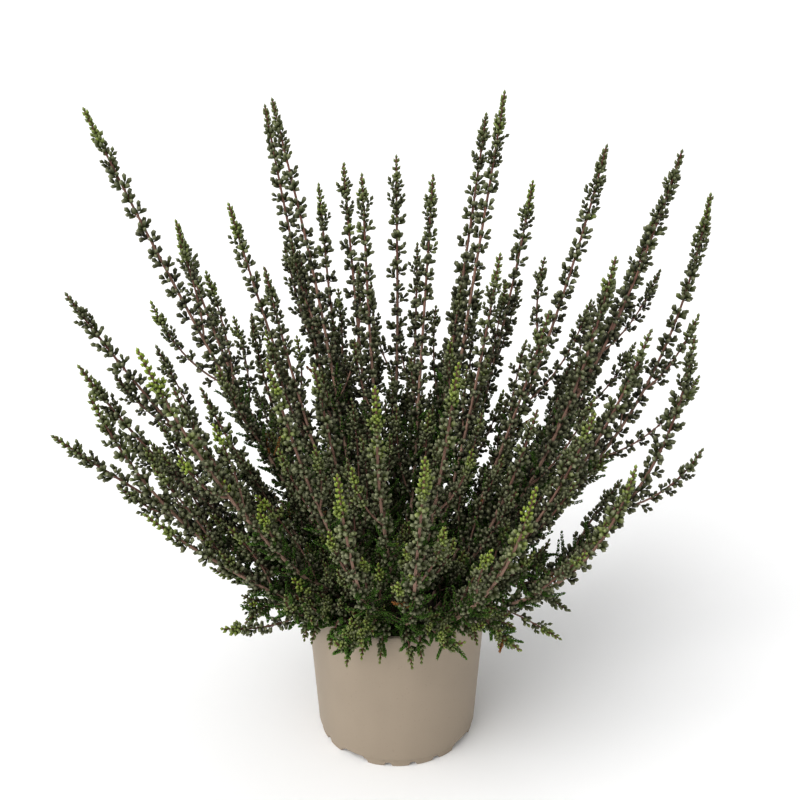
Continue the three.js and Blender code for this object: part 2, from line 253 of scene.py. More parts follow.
# How a tall spray changes: each pair is a value, and what is added to it as the spray is fully green or in
# front, or ends far out
TIP_TONE_BY_GREEN = (0.48, 0.48)
BARE_SHARE_BY_GREEN = (0.16, 0.08)
FAN_STEP_BY_GREEN = (1.1, 0.3)
YOUNG_WOOD_BY_GREEN = (0.95, -0.2)
LEAF_TONE_BY_GREEN = (0.12, 0.12)
# The front sprays' buds are paler: partly their own colour, partly painted light on the plant's front
BODY_TONE_AND_LIGHT_BY_FRONT = (0.05, 0.15)
SIDE_NUMBER_BY_REACH = (0.7, 0.45)
SIDE_SPREAD_BY_REACH = (0.38, 0.16)
SIDE_LIMIT_BY_REACH = (0.68, 0.12)
GREENEST_BEHIND = 0.45
USUAL_SIZE = 1.08
LARGER_FAR_OUT = 0.16
SMALLER_IN_FRONT = 0.12

# Side shoots and basal shoots of a tall stem: their lengths and places, the degrees that they open and close
# by, and the part of the stem below the first side shoot
SIDE_FROM = 0.08
SIDE_REACH = (36, 92)
SIDE_OPENING = (26, 40)
SIDE_CLOSING = 3
SIDE_COLUMNS = (10, 20)
BASAL_REACH = (32, 62)
BASAL_PLACE = (3, 16)
BASAL_OPENING = 46
BASAL_CLOSING = 12
BASAL_RISE = 0.5

# Hanging stems, the sprigs about the foot of each, and its shoots
SKIRT_GREEN = 0.5
SPRIG_APART = 0.175
SPRIG_START = 10
SPRIG_LEAFY_SHOOTS = 10
HANGING_SHOOTS = 12
HANGING_LEAFY_STEP = 2.2

# The stems' tubes: half widths at the foot and the end, sides round, steps along, where the foot starts in
# the wood's colours, and the depth below the soil's surface
TALL_TUBE = {"thick": STEM_RADIUS, "thin": 0.6, "sides": 5, "steps": 48, "below": 14}
SIDE_TUBE = {"thick": 0.75, "thin": 0.4, "sides": 4, "steps": 10, "old": 0.45}
BASAL_TUBE = {"thick": 0.7, "thin": 0.4, "sides": 4, "steps": 8, "old": 0.45}
SPRIG_TUBE = {"thick": 0.9, "thin": 0.4, "sides": 4, "steps": 14, "old": 0.3}
SKIRT_TUBE = {"thick": STEM_RADIUS, "thin": 0.5, "sides": 5, "steps": 30, "old": 0.1, "below": 14}
HANGING_TUBE = {"thick": 0.7, "thin": 0.4, "sides": 4, "steps": 6, "old": 0.45}

# Where shoots keep off the pot: fully up to the first height above it and not at all above the second, and
# this far outside its rim or inside its wall. Those that start or end less than the last two distances
# inside the rim, or further out, count as outside.
CLEAR_FULLY_BELOW = 2
CLEAR_UP_TO = 6
OUTSIDE_RIM = 3
INSIDE_WALL = 4.5
STARTS_OUTSIDE = 2
ENDS_OUTSIDE = 6

# Where each kind of growth lies across the palette map
WOOD_BAND = (0.03, 0.17)
DRY_BAND = (0.20, 0.28)
LEAF_BAND = (0.33, 0.58)
BUD_BAND = (0.63, 0.97)
BAND_MARGIN = 0.04
MAP_MARGIN = 0.01
# The turn round each stem and bud that places its painted lit side and its painted shaded side
SHADED_SIDE = 0.4

# The sockets of a Mix node that are used for colours: its share, its two colours and its result
MIX_SHARE = 0
MIX_FIRST = 6
MIX_SECOND = 7
MIX_RESULT = 2

# The camera that took the picture: its place, its tilt below level, and its lens and sensor
CAMERA_PLACE = (2.4, -700, 567)
CAMERA_DOWN_DEGREES = 24.6
CAMERA_LENS = 55.17
SENSOR_WIDTH = 36
CAMERA_NEAR_METRES = 0.01
VIEW_GAMMA = 0.85

# The floor
FLOOR_HALF_METRES = 6.0
FLOOR_GREY = 0.85
FLOOR_GLOW = 0.085

# The lights: a wide soft one from the upper left, a wider one overhead, and surroundings that are white at
# the horizon and below, and dim overhead
KEY_HEIGHT_DEGREES = 44
KEY_LEFT_DEGREES = 46
KEY_WIDTH_DEGREES = 55
KEY_STRENGTH = 2.4
TOP_WIDTH_DEGREES = 75
TOP_STRENGTH = 1.6
SKY_STRENGTH = 0.09
HORIZON_FROM = 0.26
HORIZON_TO = 0.5


def scatter(n, row=0):
    """Each whole number's own place between 0 and 1: n times an irrational step, without its whole part."""
    return (n * SCATTER[row]) % 1.0


def ramp(pair, share):
    """The first of two numbers, plus a share of the second."""
    return pair[0] + pair[1] * share


def swing(n, row=0):
    """The same, between minus one and one."""
    return 2 * scatter(n, row) - 1


def smooth(low, high, value):
    """0 below low, 1 above high, and t t (3 - 2 t) of the share t in between."""
    t = np.clip((value - low) / (high - low), 0, 1)
    return t * t * (3 - 2 * t)


def unit(vectors):
    """Vectors divided by their own length."""
    return vectors / np.maximum(np.linalg.norm(vectors, axis=-1, keepdims=True), LEAST_LENGTH)


def tall_courses():
    """First lines of the tall stems, from soil to tip. With t from 0 to 1 a stem has gone out by
    t + sweep t (1 - t) of its reach and up by t - SWEEP_SINK sweep t (1 - t) of its height, and it sways
    sideways by a sine that dies out at its tip."""
    x, y, z, sweep = TALL_TIPS.T[:, :, None]
    index = np.arange(len(TALL_TIPS))[:, None]
    reach = np.hypot(x, y)
    bearing = np.arctan2(y, x)
    lean = np.minimum(1, reach / (z - SOIL_HEIGHT) / OUTER_BASE_LEAN)
    share = INNER_BASE_SHARE + (1 - INNER_BASE_SHARE) * scatter(index + 1)
    base = BASE_CIRCLE * share * lean**LEAN_POWER
    t = np.linspace(0, 1, NODES)
    out = t + sweep * t * (1 - t)
    up = t - SWEEP_SINK * sweep * t * (1 - t)
    side = SIDE_WAVE / 2 * swing(index + 3, 2) * np.sin(2 * np.pi * t) * (1 - t)
    radial = base + (reach - base) * out
    return np.stack([
        radial * np.cos(bearing) - side * np.sin(bearing),
        radial * np.sin(bearing) + side * np.cos(bearing),
        SOIL_HEIGHT + (z - SOIL_HEIGHT) * up,
    ], -1)


def skirt_courses():
    """First lines of the stems that hang over the rim: one cubic curve each in distance from the axis and
    height, which turns a little sideways as the square of t."""
    index = np.arange(SKIRT_COUNT)[:, None]
    bearing = np.radians(SKIRT_FIRST_DEGREES + index * 360 / SKIRT_COUNT)
    reach = SKIRT_REACH + SKIRT_REACH_SPREAD * swing(index + 1)
    height = SKIRT_TIP_HEIGHT + SKIRT_TIP_SPREAD * swing(index + 2, 1)
    t = np.linspace(0, 1, NODES)
    s = 1 - t
    first, second, third, last = s**3, 3 * s * s * t, 3 * s * t * t, t**3
    crest = SKIRT_BASE_CIRCLE + SKIRT_CREST_OUT
    radial = SKIRT_BASE_CIRCLE * first + crest * second + (reach - SKIRT_SHOULDER_IN) * third + reach * last
    z = SOIL_HEIGHT * first + SKIRT_CREST * second + SKIRT_SHOULDER * third + height * last
    angle = bearing + SKIRT_TURN * swing(index + 4, 2) * t * t
    return np.stack([radial * np.cos(angle), radial * np.sin(angle), z], -1)


def running_lengths(nodes):
    """The length along each line up to each of its nodes."""
    steps = np.linalg.norm(np.diff(nodes, axis=-2), axis=-1)
    start = np.zeros(steps.shape[:-1] + (1,))
    return np.concatenate([start, np.cumsum(steps, -1)], -1)


def spray_radii(nodes, full, foot_taper, tip_taper):
    """Half widths of sprays at their nodes: slim at the soil, full in the middle and slim at the tip."""
    run = running_lengths(nodes)
    foot = STEM_RADIUS + (full - STEM_RADIUS) * smooth(0, foot_taper, run)
    tip = TIP_SPRAY_RADIUS + (full - TIP_SPRAY_RADIUS) * smooth(0, tip_taper, run[..., -1:] - run)
    return np.minimum(foot, tip)


def rim_heights(radius, spray):
    """The lowest that a stem's middle may pass at a distance from the axis, with its buds clear of the rim.
    The height runs smoothly from the soil's to a little above the rim's, and is 0 well outside the rim."""
    over = smooth(RIM_RISE_FROM, RIM_RISE_TO, radius)
    height = SOIL_HEIGHT + over * (POT_HEIGHT + spray + RIM_CLEARANCE - SOIL_HEIGHT)
    return np.where(radius > RIM_RADIUS + spray + RIM_CLEARANCE, 0, height)


def bend_clear(nodes, radii):
    """Bends stems clear of each other: nodes of two stems that are too close push each other apart, the
    pushes are spread smoothly along each stem, and the tips move least."""
    stems, steps, _ = nodes.shape
    own = np.repeat(np.arange(stems), steps)
    wide = radii.ravel()
    freedom = 1 - TIP_HOLD * np.linspace(0, 1, steps)[:, None] ** 2
    for step in range(RELAX_STEPS):
        flat = nodes.reshape(-1, 3)
        if step % NEIGHBOURS_EVERY == 0:
            square = (flat**2).sum(1)
            apart = square[:, None] + square - 2 * flat @ flat.T
            a, b = np.nonzero((apart < NEIGHBOUR_REACH**2) & (own[:, None] < own))
        offset = flat[a] - flat[b]
        need = wide[a] + wide[b] + CLEARANCE
        gap = np.linalg.norm(offset, axis=1)
        push = np.where(gap < need, RELAX_SHARE * (need - gap) / gap, 0)[:, None]
        push = push * offset * [1, 1, UPWARD_SHARE]
        moves = np.zeros_like(flat)
        np.add.at(moves, a, push)
        np.subtract.at(moves, b, push)
        moves = moves.reshape(nodes.shape)
        for _ in range(SPREAD_PASSES):
            before = np.concatenate([moves[:, :1], moves[:, :-1]], 1)
            after = np.concatenate([moves[:, 1:], moves[:, -1:]], 1)
            moves = (before + 2 * moves + after) / 4
        nodes = nodes + freedom * moves
        reach = np.hypot(nodes[..., 0], nodes[..., 1])
        inward = np.minimum(1, OUTERMOST_BASE / reach[:, 0])
        nodes[:, 0, :2] *= inward[:, None]
        nodes[..., 2] = np.maximum(nodes[..., 2], rim_heights(reach, radii))
        nodes[:, 0, 2] = SOIL_HEIGHT
    return nodes


def grown_stems():
    """The nodes of every stem, the tall ones first, all bent clear of each other."""
    tall, skirt = tall_courses(), skirt_courses()
    radii = np.concatenate([
        spray_radii(tall, FULL_SPRAY_RADIUS, FOOT_TAPER, TIP_TAPER),
        spray_radii(skirt, SKIRT_SPRAY_RADIUS, SKIRT_FOOT_TAPER, SKIRT_TIP_TAPER),
    ])
    return bend_clear(np.concatenate([tall, skirt]), radii)


class Course:
    """The line of a stem or shoot, rounded between its nodes, read at any distances along it."""

    SPAN = 3
    ROUNDING = 4
    UPRIGHT = 0.05

    def __init__(self, nodes):
        self.nodes = self.rounded(nodes)
        self.run = running_lengths(self.nodes)
        self.length = self.run[-1]
        chord = unit(nodes[-1] - nodes[0])
        level = np.cross([0, 0, 1], chord)
        leans = np.linalg.norm(level) > self.UPRIGHT
        self.side = unit(level if leans else np.array([0.0, 1.0, 0.0]))

    def rounded(self, nodes):
        """Passes a cubic with each node's neighbours' slope through every pair of nodes."""
        slope = np.gradient(nodes, axis=0)
        t = np.arange(self.ROUNDING)[:, None, None] / self.ROUNDING
        a, b = nodes[:-1], nodes[1:]
        line = (
            (2 * t**3 - 3 * t**2 + 1) * a
            + (t**3 - 2 * t**2 + t) * slope[:-1]
            + (3 * t**2 - 2 * t**3) * b
            + (t**3 - t**2) * slope[1:]
        )
        return np.concatenate([line.transpose(1, 0, 2).reshape(-1, 3), nodes[-1:]])

    def place(self, distance):
        """The points at distances along the line."""
        return np.stack([np.interp(distance, self.run, c) for c in self.nodes.T], -1)

    def axes(self, distance):
        """The directions along the line, across it and to its side, at distances along it."""
        ahead = self.place(np.minimum(distance + self.SPAN, self.length))
        behind = self.place(np.maximum(np.minimum(distance, self.length - self.SPAN) - self.SPAN, 0))
        along = unit(ahead - behind)
        across = unit(np.cross(np.broadcast_to(self.side, along.shape), along))
        return along, across, np.cross(along, across)


def turned_shape(profile, sides):
    """A small closed shape turned round its own line: profile rows are height and radius, with a pole below
    the first and above the last. Returns its points, faces, heights and a slow wobble of tone round it,
    which paints one side a little lighter and the other darker as painted light and shade."""
    profile = np.array(profile, float)
    angle = 2 * np.pi * np.arange(sides) / sides
    rings = np.stack([
        profile[:, 1:] * np.cos(angle),
        profile[:, 1:] * np.sin(angle),
        np.repeat(profile[:, :1], sides, 1),
    ], -1).reshape(-1, 3)
    points = np.concatenate([[[0, 0, 0]], rings, [[0, 0, 1]]])
    i = np.arange(sides)
    n = (i + 1) % sides
    top = len(points) - 1
    faces = [np.stack([np.zeros_like(i), 1 + n, 1 + i], 1)]
    for ring in range(len(profile) - 1):
        low, high = 1 + ring * sides, 1 + (ring + 1) * sides
        faces += [np.stack([low + i, low + n, high + n], 1), np.stack([low + i, high + n, high + i], 1)]
    last = 1 + (len(profile) - 1) * sides
    faces.append(np.stack([last + i, last + n, np.full_like(i, top)], 1))
    # The wobble is painted light and shade: round the shape its tone shifts one way on one side and the
    # other way on the other.
    wobble = np.concatenate([[0.3], np.tile(np.cos(angle + SHADED_SIDE), len(profile)), [-0.2]])
    return SimpleNamespace(points=points, faces=np.concatenate(faces), height=points[:, 2], wobble=wobble)


# The small closed shapes, each row of a profile a height and a half width as shares of the whole
BUD = turned_shape([[0.34, 0.66], [0.74, 1.0]], 4)
CLUB = turned_shape([[0.68, 1.0]], 5)
SCALE = turned_shape([[0.56, 1.0]], 5)
TWIG = turned_shape([[0.02, 1.0]], 3)


def leaf_shape():
    """A scale leaf: four points, its edges drawn back from its keel so that it holds a thin solid."""
    points = np.array([[0, 0, 0], [1, -0.5, 0.5], [-1, -0.5, 0.5], [0, 0.5, 1]], float)
    faces = np.array([[0, 2, 1], [0, 1, 3], [0, 3, 2], [1, 2, 3]])
    middle = points.mean(0)
    corner = points[faces]
    normal = np.cross(corner[:, 1] - corner[:, 0], corner[:, 2] - corner[:, 0])
    inward = ((corner.mean(1) - middle) * normal).sum(1) < 0
    faces[inward] = faces[inward][:, ::-1]
    # Across the leaf the wobble shifts its tone, as painted light and shade on its two edges.
    wobble = points[:, 0] + 0.3 * points[:, 1]
    return SimpleNamespace(points=points, faces=faces, height=points[:, 2], wobble=wobble)


LEAF = leaf_shape()

# Kinds of budded twig: pairs of buds below the end one, bare share of the twig, degrees that the buds open
# by, their size, and the twig's length and its lean in degrees
FAN = SimpleNamespace(shape=BUD, pairs=2, bare=0.4, opening=46, size=1.42, length=4.8, lean=28)
SIDE_FAN = SimpleNamespace(shape=CLUB, pairs=2, bare=0.4, opening=46, size=1.3, length=4.8, lean=28)
COLUMN = SimpleNamespace(shape=SCALE, pairs=3, bare=0.2, opening=40, size=1.12, length=6.6, lean=30)


class Growth:
    """Gathers the parts of one plant piece as whole arrays and makes them one mesh."""

    # How far the wobble's painted light and shade moves a shape's tone across its band
    WOBBLE = 0.012

    def __init__(self):
        self.points, self.faces, self.palette = [], [], []
        self.count = 0

    def add(self, points, faces, palette):
        """Adds N copies of a shape of K points: points are N x K x 3 and palette places N x K x 2."""
        copies, size = points.shape[:2]
        first = self.count + size * np.arange(copies)[:, None, None]
        self.points.append(points.reshape(-1, 3))
        self.faces.append((first + faces).reshape(-1, 3))
        self.palette.append(palette.reshape(-1, 2))
        self.count += copies * size

    def scatter_shape(self, shape, start, along, side, length, width, band, tone, low=0.0, high=1.0):
        """Copies a small shape to each start, with its own direction, length and half width. Its tone picks
        a place across a band of the palette, and its height runs from low to high there."""
        count = len(start)
        length, width, tone, low, high = (
            np.broadcast_to(value, count)[:, None] for value in (length, width, tone, low, high)
        )
        across = np.cross(along, side)
        local = shape.points
        points = (
            start[:, None]
            + (width * local[:, 0])[..., None] * side[:, None]
            + (width * local[:, 1])[..., None] * across[:, None]
            + (length * local[:, 2])[..., None] * along[:, None]
        )
        tone = np.clip(tone, BAND_MARGIN, 1 - BAND_MARGIN)
        # The wobble adds painted light and shade round the shape
        u = band[0] + (band[1] - band[0]) * tone + self.WOBBLE * shape.wobble
        v = np.clip(low + (high - low) * shape.height, MAP_MARGIN, 1 - MAP_MARGIN)
        self.add(points, shape.faces, np.stack([u, v], -1))

    def tube(self, course, thick, thin, sides, steps, old=0.0, young=1.0, below=0.0):
        """A closed round stem along a course, from below its start to its end, with a half width that runs
        evenly from thick to thin, and the wood's colours from old to young."""
        distance = np.linspace(0, course.length, steps + 1)
        along, across, side = course.axes(distance)
        angle = 2 * np.pi * np.arange(sides) / sides
        radius = np.interp(distance, [0, course.length], [thick, thin])[:, None, None]
        ring = across[:, None] * np.cos(angle)[:, None] + side[:, None] * np.sin(angle)[:, None]
        middle = course.place(distance)
        rings = middle[:, None] + radius * ring
        share = np.repeat(distance / course.length, sides)
        if below:
            rings = np.concatenate([rings[:1] - [0, 0, below], rings])
            share = np.concatenate([np.zeros(sides), share])
            middle = np.concatenate([middle[:1] - [0, 0, below], middle])
        levels = len(rings)
        points = np.concatenate([middle[:1], rings.reshape(-1, 3), middle[-1:] + along[-1:] * thin])
        i = np.arange(sides)
        n = (i + 1) % sides
        low = 1 + sides * np.arange(levels - 1)[:, None]
        walls = np.stack([
            np.stack([low + i, low + n, low + sides + n], -1),
            np.stack([low + i, low + sides + n, low + sides + i], -1),
        ], 2).reshape(-1, 3)
        top = len(points) - 1
        last = 1 + sides * (levels - 1)
        faces = np.concatenate([
            np.stack([np.zeros_like(i), 1 + n, 1 + i], 1),
            walls,
            np.stack([last + i, last + n, np.full_like(i, top)], 1),
        ])
        # Round the stem the tone crosses the whole wood band, so one side is painted darker as shade
        centre = sum(WOOD_BAND) / 2
        u = centre + (WOOD_BAND[1] - WOOD_BAND[0]) / 2 * np.tile(np.cos(angle + SHADED_SIDE), levels)
        u = np.concatenate([[centre], u, [centre]])
        v = np.concatenate([[0], share, [1]])
        v = np.clip(old + (young - old) * v, MAP_MARGIN, 1 - MAP_MARGIN)
        self.add(points[None], faces, np.stack([u, v], -1)[None])

    def piece(self, name, finish, *nodes):
        """Makes the mesh and its object, which stands for the CAD nodes."""
        points = np.concatenate(self.points) * MM
        faces = np.concatenate(self.faces)
        palette = np.concatenate(self.palette)
        made = new_piece(name, points, faces, finish)
        layer = made.data.uv_layers.new(name=PALETTE_MAP)
        layer.data.foreach_set("uv", palette[faces.ravel()].astype(np.float32).ravel())
        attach(made, BODY)
        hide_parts(*nodes)
        return made


def new_piece(name, points, faces, finish):
    """A smooth-shaded mesh object of triangles at the origin, from points in metres."""
    mesh = bpy.data.meshes.new(name)
    mesh.vertices.add(len(points))
    mesh.vertices.foreach_set("co", np.ascontiguousarray(points, np.float32).ravel())
    mesh.loops.add(faces.size)
    mesh.loops.foreach_set("vertex_index", np.ascontiguousarray(faces, np.int32).ravel())
    mesh.polygons.add(len(faces))
    mesh.polygons.foreach_set("loop_start", np.arange(0, faces.size, 3, dtype=np.int32))
    mesh.polygons.foreach_set("use_smooth", np.ones(len(faces), bool))
    mesh.update(calc_edges=True)
    mesh.validate()
    mesh.materials.append(finish)
    made = bpy.data.objects.new(name, mesh)
    bpy.context.scene.collection.objects.link(made)
    return made


def sideways(along):
    """For each direction, one at right angles to it."""
    return unit(np.cross(along, ASKEW))


def around(course, distance, turn):
    """Places on a course with the direction along it and one out of it, turned round it by an angle."""
    along, across, side = course.axes(distance)
    out = across * np.cos(turn)[:, None] + side * np.sin(turn)[:, None]
    return course.place(distance), along, out


def tilted(along, out, angle):
    """Directions that lean from along towards out by an angle."""
    angle = np.broadcast_to(angle, len(along))[:, None]
    return along * np.cos(angle) + out * np.sin(angle)


def add_tip(growth, course, reach, draw, tone, size):
    """The growing end of a shoot: crossed pairs of small pointed buds pressed to the stem, more upright and
    smaller towards the end, and one straight on at the very end."""
    pairs = max(3, int(reach / TIP_STEP))
    pair = np.append(np.repeat(np.arange(pairs), 2), pairs)
    count = len(pair)
    share = pair / pairs
    distance = course.length - reach * (1 - share) - TIP_SET_BACK
    turn = pair * np.pi / 2 + np.arange(count) % 2 * np.pi + draw.normal(0, 0.15, count)
    start, along, out = around(course, distance, turn)
    lean = np.radians(TIP_LEAN_DEGREES - TIP_CLOSES_DEGREES * share)
    lean = np.where(pair < pairs, lean, LAST_BUD_LEAN) + draw.normal(0, 0.07, count)
    heading = tilted(along, out, lean)
    length = size * (TIP_BUD_LENGTH - TIP_SHORTENS * share) * draw.uniform(0.9, 1.1, count)
    width = size * (TIP_BUD_WIDTH - TIP_SLIMS * share) * draw.uniform(0.9, 1.1, count)
    shade = tone + draw.normal(0, 0.05, count)
    growth.scatter_shape(SCALE, start, heading, sideways(heading), length, width, BUD_BAND, shade)


def add_twigs(growth, course, distance, turn, draw, tone, kind, length, lean, size):
    """Short twigs out of a course at an angle from it. Each has an end bud and crossed pairs of buds below
    it, down to where its foot is bare. The kind says how many pairs, how bare, how far the buds open, and
    their shape and size."""
    count = len(distance)
    per = 2 * kind.pairs + 1
    start, along, out = around(course, distance, turn)
    heading = tilted(along, out, np.radians(lean) + draw.normal(0, 0.12, count))
    length = np.broadcast_to(size * length, count) * draw.uniform(0.8, 1.2, count)
    first = sideways(heading)
    growth.scatter_shape(
        TWIG, start, heading, first, length, TWIG_WIDTH, WOOD_BAND, tone=0.5, low=0.6, high=0.95,
    )
    pair = np.append(np.repeat(np.arange(kind.pairs), 2), kind.pairs)
    share = kind.bare + (1 - kind.bare) * pair / kind.pairs
    azimuth = pair * np.pi / 2 + np.arange(per) % 2 * np.pi
    azimuth = azimuth + draw.uniform(0, 2 * np.pi, (count, 1)) + draw.normal(0, 0.2, (count, per))
    opening = np.radians(np.where(pair < kind.pairs, kind.opening, END_BUD_DEGREES))
    spread = opening + draw.normal(0, 0.1, (count, per))
    first = first[:, None]
    second = np.cross(heading[:, None], first)
    ring = first * np.cos(azimuth)[..., None] + second * np.sin(azimuth)[..., None]
    direction = heading[:, None] * np.cos(spread)[..., None] + ring * np.sin(spread)[..., None]
    place = start[:, None] + heading[:, None] * (length[:, None] * share)[..., None]
    bud = (size * kind.size * draw.uniform(0.88, 1.12, (count, per))).ravel()
    shade = (tone + draw.normal(0, 0.07, count))[:, None] + draw.normal(0, 0.05, (count, per))
    direction = unit(direction.reshape(-1, 3))
    growth.scatter_shape(
        kind.shape, place.reshape(-1, 3), direction, sideways(direction), BUD_LENGTH * bud, BUD_WIDTH * bud,
        BUD_BAND, shade.ravel(),
    )


def add_leafy_shoots(growth, course, distance, turn, length, draw, tone, lift=0.5, lean=50, dry=0.0):
    """Short shoots covered in scale leaves: each leaves the course at an angle and bends up, or down where
    lift is negative, as the square of its length, with crossed pairs of leaves all along it."""
    count = len(distance)
    leaves = (count, LEAF_PAIRS, 2)
    start, along, out = around(course, distance, turn)
    heading = tilted(along, out, np.radians(lean) + draw.normal(0, 0.2, count))
    length = np.broadcast_to(length, count) * draw.uniform(0.7, 1.25, count)
    t = np.linspace(0.06, 1, LEAF_PAIRS)
    rise = np.array([0, 0, 1.0]) * lift
    bend = heading[:, None] * t[:, None] + rise * t[:, None] ** 2 * 0.5
    line = clear_of_pot(start[:, None] + length[:, None, None] * bend)
    ahead = unit(np.gradient(line, axis=1))
    whole = line[:, -1] - start
    span = np.linalg.norm(whole, axis=1)
    growth.scatter_shape(
        TWIG, start, unit(whole), sideways(heading), span, LEAFY_TWIG_WIDTH, WOOD_BAND,
        tone=0.4, low=0.4, high=0.8,
    )
    first = sideways(ahead)
    second = np.cross(ahead, first)
    spin = (np.arange(LEAF_PAIRS) % 2) * np.pi / 2 + draw.uniform(0, np.pi, (count, 1))
    spin = np.stack([spin, spin + np.pi], -1) + draw.normal(0, 0.2, leaves)
    outward = first[:, :, None] * np.cos(spin)[..., None] + second[:, :, None] * np.sin(spin)[..., None]
    angle = np.radians(LEAF_DEGREES) - LEAF_CLOSES * t[:, None, None] + draw.normal(0, 0.12, (*leaves, 1))
    blade = ahead[:, :, None] * np.cos(angle) + outward * np.sin(angle)
    side = np.cross(blade, outward)
    place = np.broadcast_to(line[:, :, None], blade.shape)
    size = ((1 - 0.3 * t[:, None]) * draw.uniform(0.85, 1.15, leaves)).ravel()
    shade = np.broadcast_to(tone, count)[:, None, None] + 0.3 * t[:, None] + draw.normal(0, 0.08, leaves)
    is_dry = np.repeat(draw.random(count) < dry, LEAF_PAIRS * 2)
    parts = [value.reshape(-1, 3) for value in (place, unit(blade), unit(side))]
    parts += [LEAF_LENGTH * size, LEAF_WIDTH * size]
    for chosen, band in ((~is_dry, LEAF_BAND), (is_dry, DRY_BAND)):
        if chosen.any():
            growth.scatter_shape(LEAF, *(value[chosen] for value in parts), band, shade.ravel()[chosen])


def clear_of_pot(lines):
    """Keeps lines off the pot's wall: those that start outside the rim, or end there from above it, stay
    outside it below its top, and the others stay inside until they are above it."""
    radius = np.hypot(lines[..., 0], lines[..., 1])
    low = 1 - smooth(POT_HEIGHT + CLEAR_FULLY_BELOW, POT_HEIGHT + CLEAR_UP_TO, lines[..., 2])
    from_above = (radius[:, -1:] > RIM_RADIUS - ENDS_OUTSIDE) & (lines[:, :1, 2] > POT_HEIGHT)
    outside = (radius[:, :1] > RIM_RADIUS - STARTS_OUTSIDE) | from_above
    kept_out = np.maximum(radius, RIM_RADIUS + OUTSIDE_RIM)
    kept_in = np.minimum(radius, POT_TOP_RADIUS - INSIDE_WALL)
    factor = 1 + low * (np.where(outside, kept_out, kept_in) / radius - 1)
    return lines * np.stack([factor, factor, np.ones_like(factor)], -1)


def side_shoot(course, distance, turn, length, opening, closing, rise=SIDE_SHOOT_RISE):
    """The course of a side shoot: it leaves the stem at the opening angle, more from its upper side than
    from its lower, comes round to the closing angle, and is drawn upwards towards its end."""
    start, along, out = around(course, np.array([distance]), np.array([turn]))
    steps = SIDE_SHOOT_STEPS
    t = (np.arange(steps) + 0.5) / steps
    angle = np.radians(closing + (opening - closing) * (1 - t) ** SIDE_SHOOT_POWER)
    upper = out + [0, 0, SIDE_SHOOT_LIFT]
    out = unit(upper - (upper * along).sum() * along)
    heading = tilted(np.repeat(along, steps, 0), np.repeat(out, steps, 0), angle)
    heading = unit(heading + [0, 0, rise] * t[:, None])
    nodes = start + np.concatenate([np.zeros((1, 3)), np.cumsum(heading * length / steps, 0)])
    return Course(clear_of_pot(nodes[None])[0])


def crossed(draw, low, high, step):
    """Distances and turns of opposite pairs, each pair at right angles to the last."""
    pairs = max(1, int(round((high - low) / step)))
    distance = np.repeat(low + (high - low) * (np.arange(pairs) + 0.5) / pairs, 2)
    turn = np.repeat(np.arange(pairs) * np.pi / 2, 2) + np.tile([0, np.pi], pairs)
    return distance + draw.normal(0, 0.14 * step, 2 * pairs), turn + draw.normal(0, 0.22, 2 * pairs)


def spiral(draw, count):
    """Turns of shoots that climb a stem in a spiral, with the same angle from each to the next."""
    return np.arange(count) * SPIRAL_TURN + draw.uniform(0, 6)


def add_shoot_buds(
    growth, course, look, draw, body, tip, low, columns, size,
    fan=FAN, step=1.0, paler=0.0, ending=TIP_REACH,
):
    """Buds all along a shoot from a low end: open fans on twigs at first, then slim columns pressed to it,
    and its growing end. The colour runs from the body's tone to the tip's."""
    end = course.length - ending * size
    middle = max(low, end - columns)
    if middle - low > look.fan_step:
        distance, turn = crossed(draw, low, middle, step * look.fan_step)
        open_share = smooth(middle + 6, middle - FAN_OPENS_OVER, distance)
        # Up the stem the tone grows paler: partly the buds' own paler grey, partly painted light on the top
        tone = body + 0.3 * (tip - body) * (1 - open_share) + paler * (distance / course.length) ** 1.5
        length = fan.length - FAN_SHORTENS * open_share
        lean = fan.lean + FAN_OPENS_DEGREES * open_share
        add_twigs(growth, course, distance, turn, draw, tone, fan, length, lean, size)
    distance, turn = crossed(draw, middle, end, look.column_step)
    share = (distance - middle) / (end - middle)
    tone = body + (0.3 + 0.6 * share) * (tip - body)
    length = np.interp(share, [0, 0.5, 1], [COLUMN.length, COLUMN.length, LAST_COLUMN_LENGTH])
    lean = COLUMN.lean - COLUMN_CLOSES_DEGREES * share
    add_twigs(growth, course, distance, turn, draw, tone, COLUMN, length, lean, size)
    add_tip(growth, course, ending * size, draw, tip, size)


def tall_spray(growth, course, look, draw, green, shade, size):
    """One tall spray: woody stem, buds all along it, side shoots with tips of their own, and leafy shoots
    low down. Green makes its tip greener and longer, shade makes its buds paler, which on the front sprays
    is partly painted light, and size makes them bigger."""
    length = course.length
    outer = np.hypot(*course.nodes[-1, :2]) / FAR_OUT
    growth.tube(course, **TALL_TUBE, young=ramp(YOUNG_WOOD_BY_GREEN, green))
    tip = ramp(TIP_TONE_BY_GREEN, green) + draw.uniform(-0.1, 0.1)
    columns = draw.uniform(0.04, 0.11) * length
    low = ramp(BARE_SHARE_BY_GREEN, green) * length
    step = ramp(FAN_STEP_BY_GREEN, green)
    ending = (1 + green) * TIP_REACH
    add_shoot_buds(
        growth, course, look, draw, shade, tip, low, columns, size, FAN, step, PALER_AND_LIT_ABOVE, ending,
    )
    add_side_shoots(growth, course, look, draw, shade, tip, size, step, outer)
    add_basal_shoots(growth, course, look, draw, shade, tip, size, (1.4 - outer) * (1 - 0.8 * green))
    count = int(LEAFY_SHARE * length / look.leafy_step)
    at = np.linspace(5, LEAFY_SHARE * length, count) + draw.normal(0, 1.5, count)
    turns = spiral(draw, count)
    reach = 18 - 14 * at / length
    tone = ramp(LEAF_TONE_BY_GREEN, green) + 0.3 * at / length
    add_leafy_shoots(growth, course, at, turns, reach, draw, tone, dry=look.dry_share)


